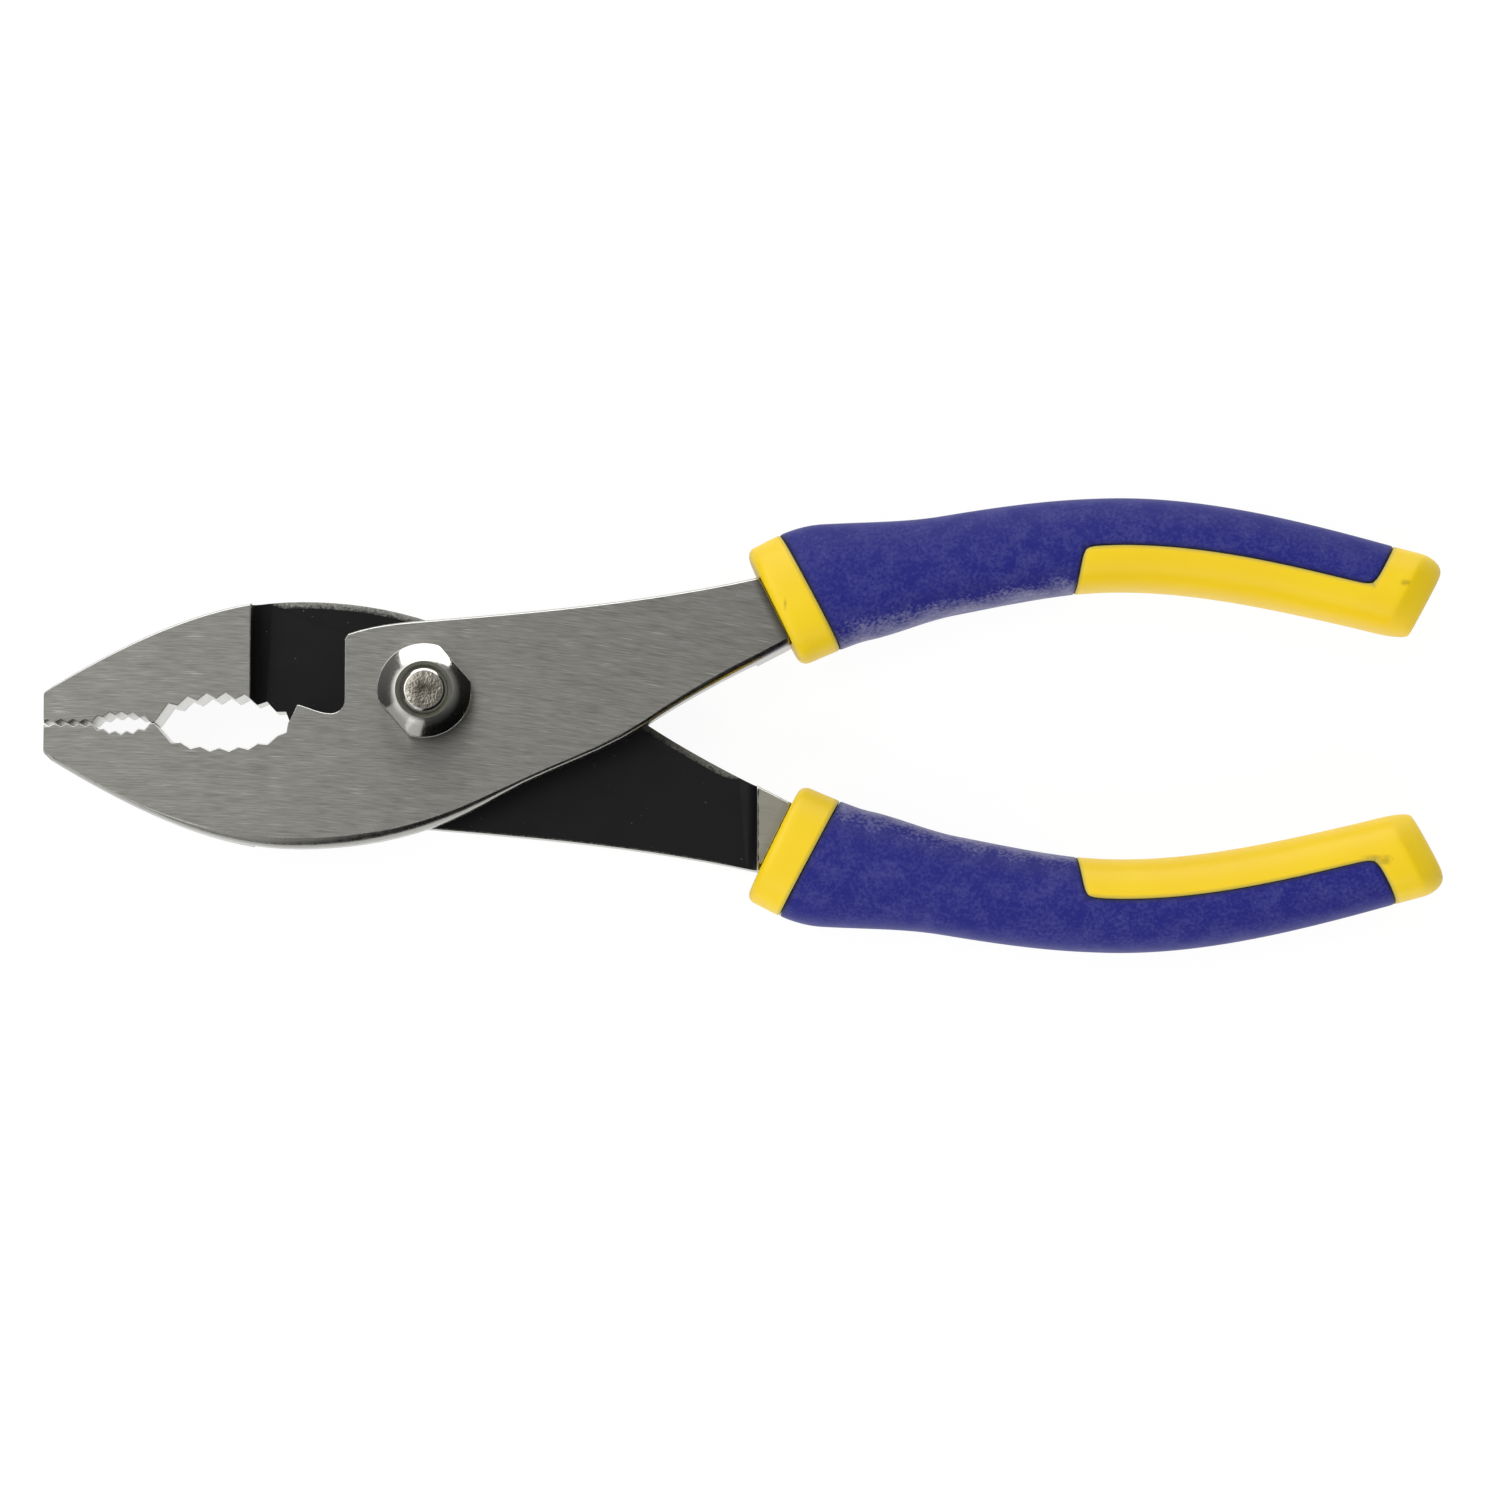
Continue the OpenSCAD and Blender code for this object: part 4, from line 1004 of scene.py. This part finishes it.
def path_object(grips):
    """The grip's middle line as a chain of points that carry the section's sizes."""
    x = np.linspace(grips.start, grips.start + grips.run, LINE_POINTS)
    y, half_w, half_d, lean = grip_line(grips, x)
    mesh = bpy.data.meshes.new("grip_line")
    mesh.from_pydata([(a, b, 0) for a, b in zip(x, y)], [(i, i + 1) for i in range(len(x) - 1)], [])
    for name, values in (("half_w", half_w), ("half_d", half_d), ("lean", lean)):
        mesh.attributes.new(name, "FLOAT", "POINT").data.foreach_set("value", values)
    line = bpy.data.objects.new("grip_line", mesh)
    bpy.context.scene.collection.objects.link(line)
    reach = np.concatenate([[0], np.cumsum(np.hypot(np.diff(x), np.diff(y)))])
    return line, lambda places: np.interp(places, x, reach)


def roll_tree():
    """Geometry nodes that roll a flat pattern round a line: X is the way along it, Y the angle round it."""
    tree = bpy.data.node_groups.new("grip_roll", "GeometryNodeTree")
    sockets = {}
    for name, kind in (("Pattern", "NodeSocketGeometry"), ("Line", "NodeSocketObject"),
                       ("Squareness", "NodeSocketFloat"), ("Material", "NodeSocketMaterial")):
        sockets[name] = tree.interface.new_socket(name, in_out="INPUT", socket_type=kind).identifier
    tree.interface.new_socket("Geometry", in_out="OUTPUT", socket_type="NodeSocketGeometry")
    given = add(tree, "NodeGroupInput").outputs
    line = add(tree, "GeometryNodeObjectInfo", {"Object": given["Line"]})
    curve = add(tree, "GeometryNodeMeshToCurve", {"Mesh": line.outputs["Geometry"]}).outputs[0]
    flat = add(tree, "ShaderNodeSeparateXYZ", {0: add(tree, "GeometryNodeInputPosition").outputs[0]}).outputs
    sampled = {}
    for name in ("half_w", "half_d", "lean"):
        value = add(tree, "GeometryNodeInputNamedAttribute", {"Name": name}, data_type="FLOAT")
        sampled[name] = add(tree, "GeometryNodeSampleCurve",
                            {"Curves": curve, "Value": value.outputs[0], "Length": flat["X"]},
                            data_type="FLOAT", mode="LENGTH").outputs
    power = add(tree, "ShaderNodeMath", {0: 2.0, 1: given["Squareness"]}, operation="DIVIDE").outputs[0]
    shrink = add(tree, "GeometryNodeInputNamedAttribute", {"Name": "shrink"}, data_type="FLOAT").outputs[0]
    reach = []
    for wave, size, inset in (("COSINE", "half_w", "inset_w"), ("SINE", "half_d", "inset_d")):
        turn = add(tree, "ShaderNodeMath", {0: flat["Y"]}, operation=wave).outputs[0]
        side = add(tree, "ShaderNodeMath", {0: turn}, operation="SIGN").outputs[0]
        bare = add(tree, "ShaderNodeMath", {0: turn}, operation="ABSOLUTE").outputs[0]
        full = add(tree, "ShaderNodeMath", {0: bare, 1: power}, operation="POWER").outputs[0]
        unit = add(tree, "ShaderNodeMath", {0: full, 1: side}, operation="MULTIPLY").outputs[0]
        drawn = add(tree, "GeometryNodeInputNamedAttribute", {"Name": inset}, data_type="FLOAT").outputs[0]
        room = add(tree, "ShaderNodeMath", {0: sampled[size]["Value"], 1: drawn},
                   operation="SUBTRACT").outputs[0]
        span = add(tree, "ShaderNodeMath", {0: room, 1: shrink}, operation="MULTIPLY").outputs[0]
        reach.append(add(tree, "ShaderNodeMath", {0: unit, 1: span}, operation="MULTIPLY").outputs[0])
    lean = sampled["lean"]["Value"]
    back = add(tree, "ShaderNodeMath", {0: lean}, operation="SINE").outputs[0]
    up = add(tree, "ShaderNodeMath", {0: lean}, operation="COSINE").outputs[0]
    minus = add(tree, "ShaderNodeMath", {0: reach[0], 1: -1.0}, operation="MULTIPLY").outputs[0]
    off_x = add(tree, "ShaderNodeMath", {0: minus, 1: back}, operation="MULTIPLY").outputs[0]
    off_y = add(tree, "ShaderNodeMath", {0: reach[0], 1: up}, operation="MULTIPLY").outputs[0]
    off = add(tree, "ShaderNodeCombineXYZ", {"X": off_x, "Y": off_y, "Z": reach[1]}).outputs[0]
    place = add(tree, "ShaderNodeVectorMath", {0: sampled["lean"]["Position"], 1: off}, operation="ADD")
    round_it = add(tree, "GeometryNodeSetPosition", {"Geometry": given["Pattern"],
                                                     "Position": place.outputs[0]})
    real = add(tree, "GeometryNodeRealizeInstances", {"Geometry": round_it.outputs[0]})
    dressed = add(tree, "GeometryNodeSetMaterial", {"Geometry": real.outputs[0],
                                                    "Material": given["Material"]})
    add(tree, "NodeGroupOutput", {0: dressed.outputs[0]})
    return tree, sockets


def rolled(name, grips, rows, faces, line, tree, sockets, material):
    """Rolls up a pattern given as columns of values for each point and the faces between them."""
    mesh = bpy.data.meshes.new(name)
    mesh.from_pydata(np.stack([rows["along"], rows["angle"], np.zeros(len(rows["along"]))], 1), [], faces)
    for key in (*COLUMNS[2:], "edge"):
        mesh.attributes.new(key, "FLOAT", "POINT").data.foreach_set("value", rows[key])
    piece = bpy.data.objects.new(name, mesh)
    bpy.context.scene.collection.objects.link(piece)
    roll = piece.modifiers.new("Roll", "NODES")
    roll.node_group = tree
    for key, value in (("Line", line), ("Squareness", grips.square), ("Material", material)):
        roll[sockets[key]] = value
    return piece


def quads(rings, count):
    """Faces between rings of equal count, numbered ring by ring."""
    faces = []
    for a in range(0, (rings - 1) * count, count):
        b = a + count
        faces += [(a + k, a + (k + 1) % count, b + (k + 1) % count, b + k) for k in range(count)]
    return faces


# What a pattern gives for each point: the way along the line, the angle round it, how far the point is drawn
# in across the width and through the depth, the share of the section that is left, and the painted shade by
# the seam
COLUMNS = ("along", "angle", "inset_w", "inset_d", "shrink", "seam")
# Shares of the section at the rings that close the front and the tail, and rings in the front's round
FRONT_RINGS, TAIL_RINGS, FRONT_ARC = (0.25, 0.5, 0.75), (0.85, 0.6, 0.3), 6


def core_pattern(grips, reach, along, angle, depth):
    """Pattern of the yellow core: the whole grip, sunk under the cover, with a closed front and tail."""
    count = along.shape[1]
    dip = [grips.recess, *(v * MM for v in CORE_DIP)]
    inset = np.interp(-depth, [-ON_SEAM, *SEAM_AT[1:]], dip)
    seam = np.interp(-depth, SEAM_AT, CORE_SHADE)
    front, back = grips.start, grips.start + grips.run
    rings = [(front, angle[0], grips.front_r, grips.front_d, share, 0) for share in FRONT_RINGS]
    for a in np.linspace(0, math.pi / 2, FRONT_ARC + 1)[:-1]:
        left = 1 - math.sin(a)
        rings.append((front + grips.front_r * (1 - math.cos(a)), angle[0], grips.front_r * left,
                      grips.front_d * left, 1, 0))
    rings += [(along[i], angle[i], inset[i], inset[i], 1, seam[i]) for i in range(len(along))]
    corner = grips.toe_r + (grips.tail_r - grips.toe_r) * ease(np.cos(angle[-1]) / 2 + 0.5)
    rings += [(back - grips.facet_l * off, angle[-1], corner * (1 - math.sqrt(1 - (1 - off) ** 2)),
               grips.facet_l * drop, 1, 0) for off, drop in TAIL_FACET]
    rings += [(back, angle[-1], corner, grips.facet_l, share, 0) for share in TAIL_RINGS]
    none = np.zeros(count)
    table = {key: np.concatenate([none + ring[i] for ring in rings]) for i, key in enumerate(COLUMNS)}
    table["along"] = reach(table["along"])
    table["edge"] = np.maximum(-np.cos(table["angle"]), 0)
    faces = quads(len(rings), count)
    for ring, place, way in ((0, front, -1), (len(rings) - 1, back, 1)):
        pole = len(table["along"])
        for key in table:
            table[key] = np.append(table[key], reach(place) if key == "along" else 0)
        faces += [(*(ring * count + k, ring * count + (k + 1) % count)[::way], pole) for k in range(count)]
    return table, faces


def cover_pattern(grips, reach, along, angle, depth):
    """Pattern of the blue cover: the lines inside its edge, rolled in at the edge itself."""
    count = along.shape[1]
    inset = np.interp(depth, SEAM_AT, [v * MM for v in COVER_DIP])
    seam = np.interp(depth, SEAM_AT, COVER_SHADE)
    inside = (depth > -ON_SEAM).ravel()
    faces = [f for f in quads(len(along), count) if all(inside[v] for v in f)]
    kept = np.unique(np.array(faces))
    number = np.full(along.size, -1)
    number[kept] = np.arange(len(kept))
    faces = [tuple(int(number[v]) for v in f) for f in faces]
    grids = (reach(along), angle, inset, inset, np.ones_like(along), seam)
    table = {key: grid.ravel()[kept] for key, grid in zip(COLUMNS, grids)}
    table["edge"] = np.maximum(-np.cos(table["angle"]), 0)
    return table, faces


class PLIERS_OT_grips(bpy.types.Operator):
    """Roll up the cores and covers of both grips from one flat pattern"""
    bl_idname = "pliers.grips"
    bl_label = "Moulded Grips"

    def execute(self, context):
        grips = context.scene.pliers_grips
        yellow, blue = hard_yellow(grips), soft_blue(grips)
        line, reach = path_object(grips)
        tree, sockets = roll_tree()
        pattern = grip_pattern(grips)
        core = rolled("core_form", grips, *core_pattern(grips, reach, *pattern), line, tree, sockets, yellow)
        cover = rolled("cover_form", grips, *cover_pattern(grips, reach, *pattern), line, tree, sockets, blue)
        wall = cover.modifiers.new("Wall", "SOLIDIFY")
        wall.thickness, wall.offset = grips.wall, -1
        forms = {"core": baked(core), "cover": baked(cover)}
        for spare in (core, cover, line):
            bpy.data.objects.remove(spare)
        for part, slot in (("core", "yellow_plastic"), ("cover", "blue_cover")):
            for side, body, seat in (("upper", "front_half", SEAT), ("lower", "rear_half", TURNED)):
                mesh = forms[part].copy()
                mesh.transform(seat)
                mesh.shade_smooth()
                mesh.set_sharp_from_angle(angle=SHARP_GRIP)
                node = side + "_grip_" + part
                place_piece(node + "_moulded", mesh, [], body, node)
        return {"FINISHED"}


def aimed(name, data, place, target):
    """Links a lamp or camera at a place, turned to a target with +Y up in its picture."""
    thing = bpy.data.objects.new(name, data)
    bpy.context.scene.collection.objects.link(thing)
    thing.location = place
    thing.rotation_euler = (Vector(target) - Vector(place)).to_track_quat("-Z", "Y").to_euler()
    return thing


# Soft lamps round the tool: turn from +X and height over the floor in degrees, distance, width and
# height of the panel in metres, brightness, where 1 shows as white, and whether metal mirrors it
LAMPS = {
    "window": (90, 24, 1.0, 1.3, 0.8, 2.4, True),
    "reflector": (222, 28, 1.0, 0.7, 0.8, 0.36, True),
    "card": (251, 30, 1.0, 0.38, 0.75, 0.5, True),
    "key": (150, 64, 1.0, 0.4, 0.4, 1.3, True),
    "fill": (270, 38, 1.0, 1.5, 0.6, 2.8, False),
}


# Width of the floor and the camera's near and far limits, in metres
FLOOR_W, CLIP = 6, (0.01, 20)


class PLIERS_OT_stage(bpy.types.Operator):
    """Lay the floor, set the lamps and the world, and aim the camera"""
    bl_idname = "pliers.stage"
    bl_label = "Stage"

    def execute(self, context):
        stage = context.scene.pliers_stage
        context.scene.view_settings.view_transform = "Standard"
        aim = Vector((stage.aim_x, stage.aim_y, LAP_Z))
        self.floor(stage)
        self.world(context.scene)
        for name, (turn, rise, distance, wide, tall, bright, mirrored) in LAMPS.items():
            lamp = bpy.data.lights.new(name, "AREA")
            lamp.shape, lamp.size, lamp.size_y = "RECTANGLE", wide, tall
            lamp.energy = bright * math.pi * wide * tall
            a, e = math.radians(turn), math.radians(rise)
            way = Vector((math.cos(a) * math.cos(e), math.sin(a) * math.cos(e), math.sin(e)))
            aimed(name, lamp, distance * way, (0, 0, 0)).visible_glossy = mirrored
        camera = bpy.data.cameras.new("camera")
        camera.angle = stage.view
        camera.clip_start, camera.clip_end = CLIP
        back = Vector((0, -math.sin(stage.tilt), math.cos(stage.tilt)))
        context.scene.camera = aimed("camera", camera, aim + stage.distance * back, aim)
        return {"FINISHED"}

    def floor(self, stage):
        """A wide pale sheet under the tool, which stays white in the picture and keeps the shadow."""
        mesh = bpy.data.meshes.new("floor")
        corners = ((-1, -1), (1, -1), (1, 1), (-1, 1))
        mesh.from_pydata([(x * FLOOR_W / 2, y * FLOOR_W / 2, 0) for x, y in corners], [], [(0, 1, 2, 3)])
        floor = bpy.data.objects.new("floor", mesh)
        bpy.context.scene.collection.objects.link(floor)

        def links(tree):
            rays = add(tree, "ShaderNodeLightPath").outputs
            seen = add(tree, "ShaderNodeMath", {0: rays["Is Camera Ray"], 1: rays["Is Glossy Ray"]},
                       operation="MAXIMUM")
            shown = add(tree, "ShaderNodeMath", {0: seen.outputs[0], 1: rays["Is Transmission Ray"]},
                        operation="MAXIMUM")
            lift = add(tree, "ShaderNodeMath", {0: shown.outputs[0], 1: stage.lift}, operation="MULTIPLY")
            tint = add(tree, "ShaderNodeMix", {0: shown.outputs[0], 6: rgba(stage.floor),
                                               7: rgba(stage.floor_seen)}, data_type="RGBA")
            return {"Emission Strength": lift.outputs[0], "Base Color": tint.outputs[2]}
        mesh.materials.append(finish_material("paper_floor", {"Roughness": 0.9, "Specular IOR Level": 0.0,
                                                              "Emission Color": (1, 1, 1, 1)}, links))

    def world(self, scene):
        """A dim room, white where seen, with a soft light overhead, brighter toward jaws and window."""
        world = bpy.data.worlds.new("studio")
        world.use_nodes = True
        tree = world.node_tree
        sky = add(tree, "ShaderNodeTexCoord").outputs["Generated"]
        way = add(tree, "ShaderNodeSeparateXYZ", {0: sky}).outputs
        over = add(tree, "ShaderNodeMapRange", {"Value": way["Z"], "From Min": 0.6, "From Max": 0.9,
                                                "To Min": 0.02, "To Max": 0.58})
        side = add(tree, "ShaderNodeMapRange", {"Value": way["X"], "From Min": -0.3, "From Max": 0.0,
                                                "To Min": 4.4, "To Max": 0.6})
        cross = add(tree, "ShaderNodeMapRange", {"Value": way["Y"], "From Min": -0.5, "From Max": 0.6,
                                                 "To Min": 0.25, "To Max": 1.5})
        level = add(tree, "ShaderNodeMath", {0: over.outputs[0], 1: side.outputs[0]}, operation="MULTIPLY")
        light = add(tree, "ShaderNodeMath", {0: level.outputs[0], 1: cross.outputs[0]}, operation="MULTIPLY")
        rays = add(tree, "ShaderNodeLightPath").outputs
        shown = add(tree, "ShaderNodeMath", {0: light.outputs[0], 1: rays["Is Camera Ray"]},
                    operation="MAXIMUM")
        background = tree.nodes["Background"]
        background.inputs["Color"].default_value = (1, 1, 1, 1)
        tree.links.new(shown.outputs[0], background.inputs["Strength"])
        scene.world = world


class PLIERS_PT_panel(bpy.types.Panel):
    """Lists the steps that dress the pliers"""
    bl_idname = "PLIERS_PT_panel"
    bl_label = "Pliers"
    bl_space_type = "VIEW_3D"
    bl_region_type = "UI"
    bl_category = "Pliers"

    def draw(self, context):
        for step in STEPS:
            self.layout.operator(step.bl_idname)


STEPS = (PLIERS_OT_halves, PLIERS_OT_pivot, PLIERS_OT_grips, PLIERS_OT_stage)
GROUPS = {"pliers_steel": PliersSteel, "pliers_pivot": PliersPivot, "pliers_grips": PliersGrips,
          "pliers_stage": PliersStage}


def register():
    for kind in (*GROUPS.values(), *STEPS, PLIERS_PT_panel):
        bpy.utils.register_class(kind)
    for name, group in GROUPS.items():
        setattr(bpy.types.Scene, name, PointerProperty(type=group))


def unregister():
    for name in GROUPS:
        delattr(bpy.types.Scene, name)
    for kind in (PLIERS_PT_panel, *reversed(STEPS), *reversed(tuple(GROUPS.values()))):
        bpy.utils.unregister_class(kind)


def main():
    register()
    for step in STEPS:
        group, name = step.bl_idname.split(".")
        getattr(getattr(bpy.ops, group), name)()


if __name__ == "__main__":
    main()
